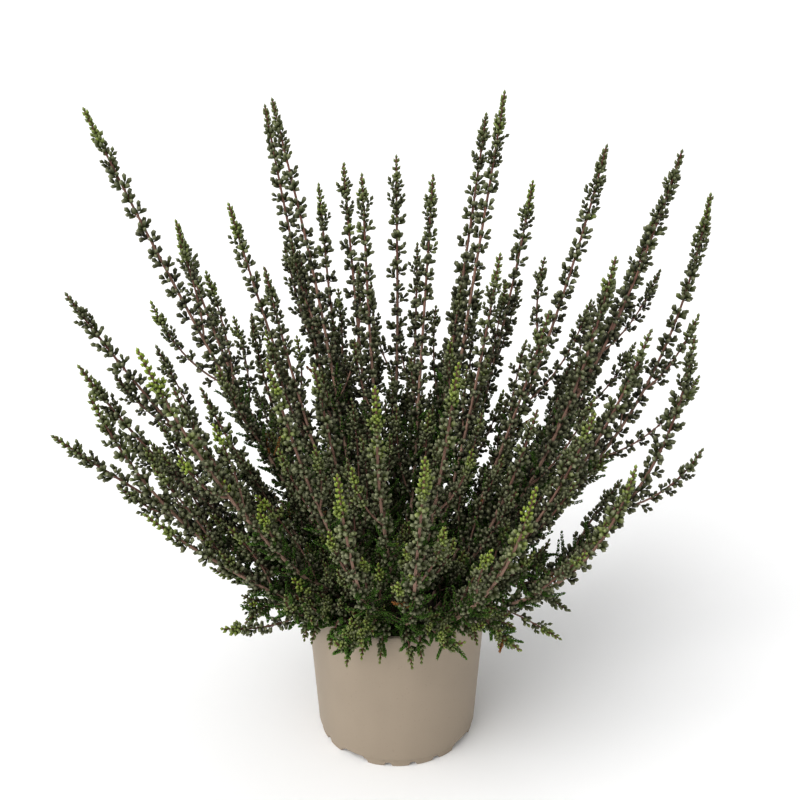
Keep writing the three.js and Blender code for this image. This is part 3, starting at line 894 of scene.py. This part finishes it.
def add_side_shoots(growth, course, look, draw, shade, tip, size, step, outer):
    """Long budded shoots on a tall stem, a little paler than it, more of them and higher up on a stem that
    ends far out."""
    length = course.length
    wanted = look.side_shoots * ramp(SIDE_NUMBER_BY_REACH, outer) * length / USUAL_LENGTH
    count = int(round(wanted + draw.uniform(-0.5, 0.9)))
    rank = np.arange(count) + draw.uniform(0.1, 0.9, count)
    spread = ramp(SIDE_SPREAD_BY_REACH, outer) * rank / max(1, count)
    for k, place in enumerate((SIDE_FROM + spread) * length):
        reach = min(draw.uniform(*SIDE_REACH), ramp(SIDE_LIMIT_BY_REACH, outer) * length - place)
        turn = k * SIDE_SHOOT_TURN + draw.uniform(0, 1)
        shoot = side_shoot(course, place, turn, reach, draw.uniform(*SIDE_OPENING), SIDE_CLOSING)
        growth.tube(shoot, **SIDE_TUBE)
        columns = draw.uniform(*SIDE_COLUMNS)
        add_shoot_buds(
            growth, shoot, look, draw, body=shade + 0.03, tip=tip - 0.04, low=5, columns=columns,
            size=0.92 * size, fan=SIDE_FAN, step=step,
        )


def add_basal_shoots(growth, course, look, draw, shade, tip, size, share):
    """Short budded shoots from the foot of a tall stem, paler than it."""
    for k in range(int(round(look.basal_shoots * share))):
        reach = draw.uniform(*BASAL_REACH)
        place = draw.uniform(*BASAL_PLACE)
        turn = k * SIDE_SHOOT_TURN + draw.uniform(0, 6)
        shoot = side_shoot(course, place, turn, reach, BASAL_OPENING, BASAL_CLOSING, BASAL_RISE)
        growth.tube(shoot, **BASAL_TUBE)
        add_shoot_buds(
            growth, shoot, look, draw, body=shade + 0.1, tip=tip + 0.06, low=0.3 * reach, columns=12,
            size=0.85 * size, fan=SIDE_FAN,
        )


def rim_sprig(turn, draw):
    """The course of a small shoot out of the soil near the wall: with t from 0 to 1 its distance from the
    axis grows evenly, and its height is a parabola that clears the rim and comes down again outside it."""
    t = np.linspace(0, 1, 18)
    radius = POT_TOP_RADIUS - SPRIG_START + draw.uniform(18, 27) * t
    height = SOIL_HEIGHT + draw.uniform(72, 80) * t - draw.uniform(62, 84) * t**2
    angle = turn + draw.uniform(-0.12, 0.12) * t
    return Course(np.stack([radius * np.cos(angle), radius * np.sin(angle), height], -1))


def skirt_spray(growth, course, look, draw, green):
    """One stem that hangs over the rim: short, leafy and budded, with side shoots of which every other one
    hangs, and three small sprigs about its foot that lean over the rim as well."""
    length = course.length
    foot = np.arctan2(*course.nodes[0, 1::-1])
    for side in (-1, 0, 1):
        sprig = rim_sprig(foot + SPRIG_APART * side + draw.uniform(-0.05, 0.05), draw)
        growth.tube(sprig, **SPRIG_TUBE)
        add_shoot_buds(
            growth, sprig, look, draw, body=0.3, tip=0.42 + 0.3 * green, low=14, columns=7, size=1.0,
            fan=SIDE_FAN,
        )
        at = np.linspace(6, 0.7 * sprig.length, SPRIG_LEAFY_SHOOTS)
        turns = spiral(draw, SPRIG_LEAFY_SHOOTS)
        add_leafy_shoots(growth, sprig, at, turns, 8, draw, tone=0.42, lift=0, lean=52)
    growth.tube(course, **SKIRT_TUBE, young=0.95)
    tip = 0.35 + 0.5 * green
    add_shoot_buds(growth, course, look, draw, body=0.32, tip=tip, low=0.2 * length, columns=16, size=1.0)
    for k in range(HANGING_SHOOTS):
        place = length * (0.22 + 0.55 * (k + draw.uniform(0.1, 0.9)) / HANGING_SHOOTS)
        hangs = k % 2
        reach = draw.uniform(14, 21) - 4 * hangs
        turn = np.pi / 2 + (k // 2) * np.pi + draw.normal(0, 0.5)
        shoot = side_shoot(
            course, place, turn, reach,
            opening=50 + 20 * hangs, closing=14 + 34 * hangs, rise=1 - 2.2 * hangs,
        )
        growth.tube(shoot, **HANGING_TUBE)
        add_shoot_buds(
            growth, shoot, look, draw, body=0.36, tip=tip, low=4, columns=8, size=0.95, fan=SIDE_FAN,
        )
    count = int(0.8 * length / HANGING_LEAFY_STEP)
    at = np.linspace(6, 0.85 * length, count)
    turns = spiral(draw, count)
    add_leafy_shoots(growth, course, at, turns, 9.5, draw, tone=0.35, lift=-0.1, lean=52, dry=look.dry_share)


class Wire:
    """A socket of a material's nodes. Arithmetic on it and on numbers adds Math nodes."""

    def __init__(self, finish, socket):
        self.finish = finish
        self.socket = socket

    def other(self, name):
        """Another output of the same node."""
        return Wire(self.finish, self.socket.node.outputs[name])

    def math(self, operation, first, second):
        """A Math node on two values."""
        return self.finish.add("ShaderNodeMath", {"operation": operation}, [first, second])

    def __add__(self, other):
        return self.math("ADD", self, other)

    def __radd__(self, other):
        return self.math("ADD", other, self)

    def __sub__(self, other):
        return self.math("SUBTRACT", self, other)

    def __rsub__(self, other):
        return self.math("SUBTRACT", other, self)

    def __mul__(self, other):
        return self.math("MULTIPLY", self, other)

    def __rmul__(self, other):
        return self.math("MULTIPLY", other, self)

    def __gt__(self, other):
        return self.math("GREATER_THAN", self, other)

    def smoothly(self, low, high, lowest=0.0, highest=1.0):
        """Runs smoothly from lowest to highest as the value goes from low to high."""
        values = [self, low, high, lowest, highest]
        return self.finish.add("ShaderNodeMapRange", {"interpolation_type": "SMOOTHSTEP"}, values)


class Nodes:
    """A node tree, and one method that adds any node to it."""

    def __init__(self, tree):
        self.tree = tree

    def add(self, kind, settings=None, inputs=(), output=0):
        """Adds a node: its settings first, a ramp's stops among them, then its sockets' values or links."""
        node = self.tree.nodes.new(kind)
        for name, value in (settings or {}).items():
            if name == "stops":
                self.set_stops(node.color_ramp.elements, value)
            else:
                setattr(node, name, value)
        for key, value in inputs.items() if isinstance(inputs, dict) else enumerate(inputs):
            if isinstance(value, Wire):
                self.tree.links.new(value.socket, node.inputs[key])
            else:
                node.inputs[key].default_value = value
        return Wire(self, node.outputs[output])

    def set_stops(self, elements, stops):
        """Gives a ramp its stops, each a place from 0 to 1 and a colour."""
        while len(elements) < len(stops):
            elements.new(1.0)
        for element, (place, colour) in zip(elements, stops):
            element.position = place
            element.color = (*colour, 1)

    def mix(self, share, first, second):
        """A colour between two others."""
        inputs = {MIX_SHARE: share, MIX_FIRST: first, MIX_SECOND: second}
        return self.add("ShaderNodeMix", {"data_type": "RGBA"}, inputs, MIX_RESULT)


class Finish(Nodes):
    """A new material with its Principled surface."""

    def __init__(self, name, **constants):
        self.material = bpy.data.materials.new(name)
        self.material.use_nodes = True
        super().__init__(self.material.node_tree)
        self.surface = self.tree.nodes["Principled BSDF"]
        for socket, value in constants.items():
            self.surface.inputs[socket.replace("_", " ")].default_value = value

    def link(self, name, wire):
        """Feeds a socket of the surface."""
        self.tree.links.new(wire.socket, self.surface.inputs[name])

    def bump(self, height, strength, distance):
        """Raises the surface by a height."""
        inputs = {"Strength": strength, "Distance": distance, "Height": height}
        self.link("Normal", self.add("ShaderNodeBump", None, inputs))


def noise(finish, scale, detail, stretch=None):
    """Noise over the object's own coordinates, between 0 and 1."""
    place = finish.add("ShaderNodeTexCoord", output="Object")
    if stretch:
        place = finish.add("ShaderNodeMapping", None, {"Vector": place, "Scale": stretch})
    return finish.add("ShaderNodeTexNoise", None, {"Vector": place, "Scale": scale, "Detail": detail})


def scaled_colour(colour, share):
    """A colour with a share of its light, used for tones of a colour and for painted shade."""
    return [share * channel for channel in colour]


def foliage_finish(look):
    """Wood, dry leaves, green leaves and buds in one material: the palette map's first number picks the kind
    and its tone, and the second runs from each part's foot to its end."""
    finish = Finish("heather_growth", Specular_IOR_Level=0.14)
    place = finish.add("ShaderNodeUVMap", {"uv_map": PALETTE_MAP})
    x = finish.add("ShaderNodeSeparateXYZ", None, [place])
    y = x.other("Y")
    places = [*WOOD_BAND, *DRY_BAND, *LEAF_BAND, *BUD_BAND]
    # Foot stops. The wood's are its old bark and, at the band's second end, its painted shaded side. The
    # feet of dry leaves, leaves and buds are darker: partly their own darker bases, partly painted shade
    # where they sit against their twigs.
    feet = [
        look.old_wood, scaled_colour(look.old_wood, 0.7), scaled_colour(look.dry_leaf, 0.5), scaled_colour(look.dry_leaf, 0.6),
        scaled_colour(look.leaf_dark, 0.4), scaled_colour(look.leaf_bright, 0.5),
        scaled_colour(look.bud_dark, 0.25), scaled_colour(look.bud_bright, 0.35),
    ]
    # End stops: the young wood and its painted shaded side, then the full colours of dry leaves, leaves and
    # buds.
    ends = [
        look.young_wood, scaled_colour(look.young_wood, 0.75), look.dry_leaf, scaled_colour(look.dry_leaf, 0.7),
        look.leaf_dark, look.leaf_bright, look.bud_dark, look.bud_bright,
    ]
    foot = finish.add("ShaderNodeValToRGB", {"stops": list(zip(places, feet))}, [x])
    stops = list(zip(places, ends))
    stops.insert(-1, (sum(BUD_BAND) / 2, look.bud_green))
    end = finish.add("ShaderNodeValToRGB", {"stops": stops}, [x])
    body = finish.mix(y.smoothly(0.2, 1.0), foot, end)
    is_bud = x > 0.5 * (LEAF_BAND[1] + BUD_BAND[0])
    # Buds grow pale towards their ends: partly their own paler tips, partly a painted highlight on the
    # rounded end.
    pale_end_and_highlight = 0.5 * is_bud * y.smoothly(0.74, 1.0)
    finish.link("Base Color", finish.mix(pale_end_and_highlight, body, (*look.bud_end_and_highlight, 1)))
    finish.link("Roughness", 0.72 - 0.26 * is_bud)
    return finish.material


def pot_finish(look):
    """Matte moulded plastic: faintly cloudy and drawn out upwards, with fine grain and a few dark flecks."""
    finish = Finish("taupe_plastic", Specular_IOR_Level=0.4)
    cloud = noise(finish, scale=22, detail=4)
    drawn = noise(finish, scale=60, detail=2, stretch=(1, 1, 0.06))
    fleck = noise(finish, scale=700, detail=0).smoothly(0.74, 0.82)
    grain = noise(finish, scale=900, detail=2) + 0.5 * noise(finish, scale=2600, detail=1)
    deep, pale, dark = [(*scaled_colour(look.pot_colour, share), 1) for share in (0.965, 1.02, 0.45)]
    body = finish.mix((0.7 * cloud + 0.3 * drawn).smoothly(0.35, 0.65), deep, pale)
    finish.link("Base Color", finish.mix(0.12 * fleck, body, dark))
    finish.link("Roughness", 0.5 + 0.14 * cloud)
    finish.bump(grain, strength=0.12, distance=0.0002)
    return finish.material


def soil_finish():
    """Damp peat: near black crumbs with brown fibres."""
    finish = Finish("damp_soil", Roughness=0.92)
    grain = noise(finish, scale=260, detail=6)
    peat, fibre = (0.008, 0.006, 0.004, 1), (0.05, 0.03, 0.018, 1)
    finish.link("Base Color", finish.mix(grain.smoothly(0.35, 0.7), peat, fibre))
    finish.bump(grain, strength=0.8, distance=0.0015)
    return finish.material


def foot_rise(degrees):
    """How far the pot's foot is raised off the ground at a bearing: small round notches between bowed lobes,
    and deeper flat recesses with steep sides between the feet."""
    lobe = 360 / LOBES
    turn = (degrees - FIRST_RECESS_DEGREES + lobe / 2) % 360
    from_edge = np.abs((turn + lobe / 2) % lobe - lobe / 2)
    notch = NOTCH_RISE * np.sqrt(np.clip(1 - (from_edge / NOTCH_HALF_DEGREES) ** 2, 0, 1))
    notch = np.maximum(notch, LOBE_BOW * (1 - from_edge / (lobe / 2)) ** 2)
    foot = lobe * LOBES_PER_FOOT
    from_recess = np.abs((turn - lobe / 2 + foot / 2) % foot - foot / 2)
    edge = [lobe / 2 - RECESS_EDGE_DEGREES, lobe / 2 + RECESS_EDGE_DEGREES]
    recess = RECESS_RISE * (1 - smooth(*edge, from_recess))
    return np.maximum(notch, recess)


def rounded_profile(corners, steps=3):
    """An outline through corners, each row a distance from the axis, a height and a rounding radius, with
    every corner turned by a short quadratic arc."""
    corners = np.array(corners, float)
    outline = [corners[0, :2]]
    t = np.linspace(0, 1, steps + 1)[:, None]
    for before, corner, after in zip(corners, corners[1:], corners[2:]):
        at = corner[:2]
        back, ahead = before[:2] - at, after[:2] - at
        cut = min(corner[2], 0.45 * np.linalg.norm(back), 0.45 * np.linalg.norm(ahead))
        first, last = at + unit(back) * cut, at + unit(ahead) * cut
        outline.extend((1 - t) ** 2 * first + 2 * t * (1 - t) * at + t**2 * last)
    outline.append(corners[-1, :2])
    return np.array(outline)


def turned(outline, segments):
    """An outline turned round the Z axis, its two ends being on the axis. Returns points and triangles."""
    angle = 2 * np.pi * np.arange(segments) / segments
    inner = outline[1:-1]
    rings = np.stack([
        inner[:, :1] * np.sin(angle),
        -inner[:, :1] * np.cos(angle),
        np.repeat(inner[:, 1:], segments, 1),
    ], -1).reshape(-1, 3)
    points = np.concatenate([[[0, 0, outline[0, 1]]], rings, [[0, 0, outline[-1, 1]]]])
    i = np.arange(segments)
    n = (i + 1) % segments
    low = 1 + segments * np.arange(len(inner) - 1)[:, None]
    walls = np.stack([
        np.stack([low + i, low + n, low + segments + n], -1),
        np.stack([low + i, low + segments + n, low + segments + i], -1),
    ], 2).reshape(-1, 3)
    last = 1 + segments * (len(inner) - 1)
    caps = [
        np.stack([np.zeros_like(i), 1 + n, 1 + i], 1),
        np.stack([last + i, last + n, np.full_like(i, len(points) - 1)], 1),
    ]
    return points, np.concatenate([caps[0], walls, caps[1]])


def inner_radius(z):
    """The radius of the pot's inner wall at a height."""
    low = POT_FOOT_RADIUS - POT_WALL
    return low + (POT_TOP_RADIUS - POT_WALL - low) * (z - FLOOR_TOP) / (POT_HEIGHT - FLOOR_TOP)


def pot_mesh():
    """The pot's outline turned round its axis, with its foot ring raised where the foot is cut away."""
    foot_inner = POT_FOOT_RADIUS - FOOT_WIDTH
    rim_low = POT_HEIGHT - RIM_HEIGHT
    outline = rounded_profile([
        [0, FLOOR_UNDERSIDE, 0],
        [foot_inner, FLOOR_UNDERSIDE, 0.8],
        [foot_inner, 0, 0.6],
        [POT_FOOT_RADIUS, 0, 0.7],
        [POT_FOOT_RADIUS, POT_STEP_HEIGHT - STEP_SLOPE, 0.3],
        [POT_FOOT_RADIUS + POT_STEP_DEPTH, POT_STEP_HEIGHT, 0.4],
        [POT_TOP_RADIUS, rim_low, 0.3],
        [RIM_RADIUS, rim_low + RIM_SLOPE, 0.5],
        [RIM_RADIUS, POT_HEIGHT, 0.9],
        [inner_radius(POT_HEIGHT), POT_HEIGHT, 0.6],
        [inner_radius(FLOOR_TOP), FLOOR_TOP, 1.2],
        [0, FLOOR_TOP, 0],
    ])
    points, faces = turned(outline, POT_SEGMENTS)
    degrees = np.degrees(np.arctan2(points[:, 0], -points[:, 1]))
    radius = np.hypot(points[:, 0], points[:, 1])
    low = FLOOR_UNDERSIDE - 0.1
    in_foot = (points[:, 2] < low) & (radius > foot_inner - 1)
    rise = foot_rise(degrees)
    raised = rise + points[:, 2] * (low - rise) / low
    points[:, 2] = np.where(in_foot, raised, points[:, 2])
    return points, faces


def soil_mesh(draw):
    """The soil's top as rings of points raised by waves and a fine random grain, closed by sides and a
    bottom that stand a little clear of the pot."""
    bottom = FLOOR_TOP + SOIL_FLOOR_GAP
    edge = inner_radius(SOIL_HEIGHT) - SOIL_WALL_GAP
    sides = [[0, bottom], [inner_radius(bottom) - SOIL_WALL_GAP, bottom]]
    top = [[radius, SOIL_HEIGHT] for radius in np.linspace(edge, 0, SOIL_RINGS)]
    points, faces = turned(np.array(sides + top), SOIL_SEGMENTS)
    on_top = points[:, 2] > SOIL_HEIGHT - 0.1
    x, y = points[:, 0], points[:, 1]
    waves = 0.8 * np.sin(0.21 * x + 1) * np.cos(0.17 * y) + 0.5 * np.sin(0.55 * x - 0.4 * y)
    grain = draw.normal(0, SOIL_GRAIN, len(points))
    inside = smooth(0, 4, edge - np.hypot(x, y))
    points[:, 2] += np.where(on_top, (waves + grain) * inside, 0)
    return points, faces


def crumbs(draw, count):
    """Small eight-sided lumps of peat and bark on the soil."""
    lump = np.array([[1, 0, 0], [-1, 0, 0], [0, 1, 0], [0, -1, 0], [0, 0, 1], [0, 0, -1]], float)
    upper = [[0, 2, 4], [2, 1, 4], [1, 3, 4], [3, 0, 4]]
    faces = np.array(upper + [[b, a, 5] for a, b, _ in upper])
    radius = CRUMB_CIRCLE * np.sqrt(draw.random(count))
    angle = draw.uniform(0, 2 * np.pi, count)
    height = SOIL_HEIGHT + draw.uniform(0.2, 1.2, count)
    place = np.stack([radius * np.cos(angle), radius * np.sin(angle), height], 1)
    size = draw.uniform(0.6, 1.9, (count, 1, 1)) * draw.uniform(0.5, 1.2, (count, 6, 1))
    turn = np.linalg.qr(draw.normal(0, 1, (count, 3, 3)))[0]
    turn *= np.sign(np.linalg.det(turn))[:, None, None]
    points = place[:, None] + (lump * size) @ turn
    first = 6 * np.arange(count)[:, None, None]
    return points.reshape(-1, 3), (first + faces).reshape(-1, 3)


def cut_drain_holes(pot):
    """Cuts the round holes through the pot's floor with a Boolean that is applied at once."""
    angle = 2 * np.pi * (np.arange(DRAIN_HOLES) + 0.5) / DRAIN_HOLES
    shape = turned_shape([[0.02, 1.0], [0.98, 1.0]], DRAIN_SEGMENTS)
    height = np.full(DRAIN_HOLES, DRAIN_CUT_FROM)
    place = np.stack([DRAIN_CIRCLE * np.cos(angle), DRAIN_CIRCLE * np.sin(angle), height], 1)
    local = shape.points * [DRAIN_RADIUS, DRAIN_RADIUS, DRAIN_CUT_DEPTH]
    points = (place[:, None] + local).reshape(-1, 3)
    first = len(local) * np.arange(DRAIN_HOLES)[:, None, None]
    cutter = new_piece("drain_cutter", points * MM, (first + shape.faces).reshape(-1, 3), None)
    cut = pot.modifiers.new("drain_holes", "BOOLEAN")
    cut.operation = "DIFFERENCE"
    cut.solver = "EXACT"
    cut.object = cutter
    seen = bpy.context.evaluated_depsgraph_get()
    solid = bpy.data.meshes.new_from_object(pot.evaluated_get(seen))
    pot.modifiers.clear()
    pot.data = solid
    bpy.data.objects.remove(cutter)


class HEATHER_PG_plant(bpy.types.PropertyGroup):
    """Sizes and colours of the plant"""

    seed: bpy.props.IntProperty(name="Seed", description="Picks another plant of the same kind", default=7)
    fan_step: bpy.props.FloatProperty(
        name="Fan spacing", description="Millimetres between pairs of bud fans along a shoot", default=7.4)
    column_step: bpy.props.FloatProperty(
        name="Column spacing", description="Millimetres between pairs of slim twigs near a tip", default=6.0)
    side_shoots: bpy.props.FloatProperty(
        name="Side shoots", description="Side shoots on a stem of usual length", default=5)
    basal_shoots: bpy.props.FloatProperty(
        name="Basal shoots", description="Short shoots from the foot of an upright stem", default=3)
    leafy_step: bpy.props.FloatProperty(
        name="Leafy spacing", description="Millimetres between leafy shoots low on a stem", default=2.9)
    dry_share: bpy.props.FloatProperty(
        name="Dry shoots", description="Share of leafy shoots that have dried", default=0.015,
        subtype="FACTOR")
    old_wood: bpy.props.FloatVectorProperty(
        name="Old wood", description="Bark near the soil", default=(0.46, 0.31, 0.24), subtype="COLOR")
    young_wood: bpy.props.FloatVectorProperty(
        name="Young wood", description="Stem near the tips", default=(0.15, 0.062, 0.05), subtype="COLOR")
    dry_leaf: bpy.props.FloatVectorProperty(
        name="Dry leaf", description="Leaves that have dried", default=(0.42, 0.19, 0.06), subtype="COLOR")
    leaf_dark: bpy.props.FloatVectorProperty(
        name="Old leaf", description="Leaves near the soil", default=(0.035, 0.075, 0.02), subtype="COLOR")
    leaf_bright: bpy.props.FloatVectorProperty(
        name="Young leaf", description="Leaves in the light", default=(0.16, 0.31, 0.05), subtype="COLOR")
    bud_dark: bpy.props.FloatVectorProperty(
        name="Dull bud", description="Ripe buds", default=(0.076, 0.075, 0.048), subtype="COLOR")
    bud_green: bpy.props.FloatVectorProperty(
        name="Green bud", description="Half-grown buds", default=(0.185, 0.2, 0.12), subtype="COLOR")
    bud_bright: bpy.props.FloatVectorProperty(
        name="New bud", description="Buds at growing tips", default=(0.33, 0.43, 0.065), subtype="COLOR")
    # Pale bud ends: partly the buds' own paler tips, partly a painted highlight
    bud_end_and_highlight: bpy.props.FloatVectorProperty(
        name="Bud end", description="Pale ends of the buds", default=(0.42, 0.42, 0.27), subtype="COLOR")
    pot_colour: bpy.props.FloatVectorProperty(
        name="Pot", description="Plastic of the pot", default=(0.35, 0.29, 0.224), subtype="COLOR")


class HEATHER_OT_pot(bpy.types.Operator):
    """Make the pot"""

    bl_idname = "heather.pot"
    bl_label = "Pot"

    def execute(self, context):
        points, faces = pot_mesh()
        pot = new_piece("plant_pot", points * MM, faces, pot_finish(context.scene.heather_plant))
        cut_drain_holes(pot)
        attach(pot, BODY)
        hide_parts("pot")
        return {"FINISHED"}


class HEATHER_OT_soil(bpy.types.Operator):
    """Make the soil"""

    bl_idname = "heather.soil"
    bl_label = "Soil"

    def execute(self, context):
        draw = np.random.default_rng(context.scene.heather_plant.seed)
        points, faces = soil_mesh(draw)
        more, more_faces = crumbs(draw, CRUMBS)
        faces = np.concatenate([faces, more_faces + len(points)])
        soil = new_piece("potting_soil", np.concatenate([points, more]) * MM, faces, soil_finish())
        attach(soil, BODY)
        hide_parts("soil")
        return {"FINISHED"}


class HEATHER_OT_sprays(bpy.types.Operator):
    """Grow the tall budded sprays and the short ones that hang over the rim"""

    bl_idname = "heather.sprays"
    bl_label = "Sprays"

    def execute(self, context):
        look = context.scene.heather_plant
        finish = foliage_finish(look)
        for index, nodes in enumerate(grown_stems()):
            draw = np.random.default_rng([look.seed, index])
            course = Course(nodes)
            growth = Growth()
            front = float(np.clip((-nodes[-1, 1] - FRONT_FROM) / FRONT_DEPTH, 0, 1))
            number = index + 1
            if number <= len(TALL_TIPS):
                # Paler buds on the front sprays, partly as painted light on the plant's front
                shade = ramp(BODY_TONE_AND_LIGHT_BY_FRONT, front) + draw.uniform(-0.04, 0.08)
                green = max(front, draw.uniform(0, GREENEST_BEHIND))
                outer = LARGER_FAR_OUT * np.hypot(*nodes[-1, :2]) / FAR_OUT
                size = USUAL_SIZE + outer - SMALLER_IN_FRONT * front
                tall_spray(growth, course, look, draw, green, shade, size)
                growth.piece(f"budded_spray_{number:02d}", finish, f"spray_{number:02d}")
            else:
                number -= len(TALL_TIPS)
                skirt_spray(growth, course, look, draw, max(front, SKIRT_GREEN))
                growth.piece(f"rim_spray_{number:02d}", finish, f"skirt_spray_{number:02d}")
        return {"FINISHED"}


class HEATHER_OT_stage(bpy.types.Operator):
    """Set the floor, the lights and the camera"""

    bl_idname = "heather.stage"
    bl_label = "Stage"

    def execute(self, context):
        scene = context.scene
        finish = Finish(
            "pale_floor", Roughness=0.9, Base_Color=(FLOOR_GREY, FLOOR_GREY, FLOOR_GREY, 1),
            Specular_IOR_Level=0.1, Emission_Color=(1, 1, 1, 1), Emission_Strength=FLOOR_GLOW,
        )
        half = FLOOR_HALF_METRES
        corners = np.array([[-half, -half, 0], [half, -half, 0], [half, half, 0], [-half, half, 0]])
        floor = new_piece("floor", corners, np.array([[0, 1, 2], [0, 2, 3]]), finish.material)
        world = scene.world or bpy.data.worlds.new("studio")
        scene.world = world
        world.use_nodes = True
        sky = Nodes(world.node_tree)
        place = sky.add("ShaderNodeTexCoord", output="Generated")
        height = sky.add("ShaderNodeSeparateXYZ", None, [place]).other("Z")
        glow = height.smoothly(HORIZON_FROM, HORIZON_TO, 1.0, SKY_STRENGTH)
        sky.tree.links.new(glow.socket, sky.tree.nodes["Background"].inputs["Strength"])
        sky.tree.nodes["Background"].inputs["Color"].default_value = (1, 1, 1, 1)
        add_sun("key", KEY_HEIGHT_DEGREES, KEY_LEFT_DEGREES, KEY_WIDTH_DEGREES, KEY_STRENGTH)
        add_sun("top", 90, 0, TOP_WIDTH_DEGREES, TOP_STRENGTH)
        data = bpy.data.cameras.new("camera")
        data.lens = CAMERA_LENS
        data.sensor_width = SENSOR_WIDTH
        data.clip_start = CAMERA_NEAR_METRES
        camera = bpy.data.objects.new("camera", data)
        camera.location = [MM * value for value in CAMERA_PLACE]
        camera.rotation_euler = (math.radians(90 - CAMERA_DOWN_DEGREES), 0, 0)
        scene.collection.objects.link(camera)
        scene.camera = camera
        scene.view_settings.view_transform = "Standard"
        scene.view_settings.gamma = VIEW_GAMMA
        return {"FINISHED"}


def add_sun(name, height, left, width, strength):
    """A wide soft light, even over the whole floor, from a height and an angle to the camera's left."""
    data = bpy.data.lights.new(name, "SUN")
    data.energy = strength
    data.angle = math.radians(width)
    light = bpy.data.objects.new(name, data)
    light.rotation_euler = (math.radians(90 - height), 0, -math.radians(left))
    bpy.context.scene.collection.objects.link(light)


class HEATHER_PT_sidebar(bpy.types.Panel):
    """Lists the plant's settings and makers"""

    bl_label = "Heather"
    bl_idname = "HEATHER_PT_sidebar"
    bl_space_type = "VIEW_3D"
    bl_region_type = "UI"
    bl_category = "Heather"

    def draw(self, context):
        look = context.scene.heather_plant
        for name in look.__annotations__:
            self.layout.prop(look, name)
        for operator in OPERATORS:
            self.layout.operator(operator.bl_idname)


OPERATORS = (HEATHER_OT_stage, HEATHER_OT_pot, HEATHER_OT_soil, HEATHER_OT_sprays)
CLASSES = (HEATHER_PG_plant, *OPERATORS, HEATHER_PT_sidebar)


def register():
    """Registers the classes and the plant's settings."""
    for item in CLASSES:
        bpy.utils.register_class(item)
    bpy.types.Scene.heather_plant = bpy.props.PointerProperty(type=HEATHER_PG_plant)


def unregister():
    """Takes back what register did."""
    del bpy.types.Scene.heather_plant
    for item in reversed(CLASSES):
        bpy.utils.unregister_class(item)


def main():
    """Makes everything."""
    register()
    bpy.ops.heather.stage()
    bpy.ops.heather.pot()
    bpy.ops.heather.soil()
    bpy.ops.heather.sprays()


if __name__ == "__main__":
    main()
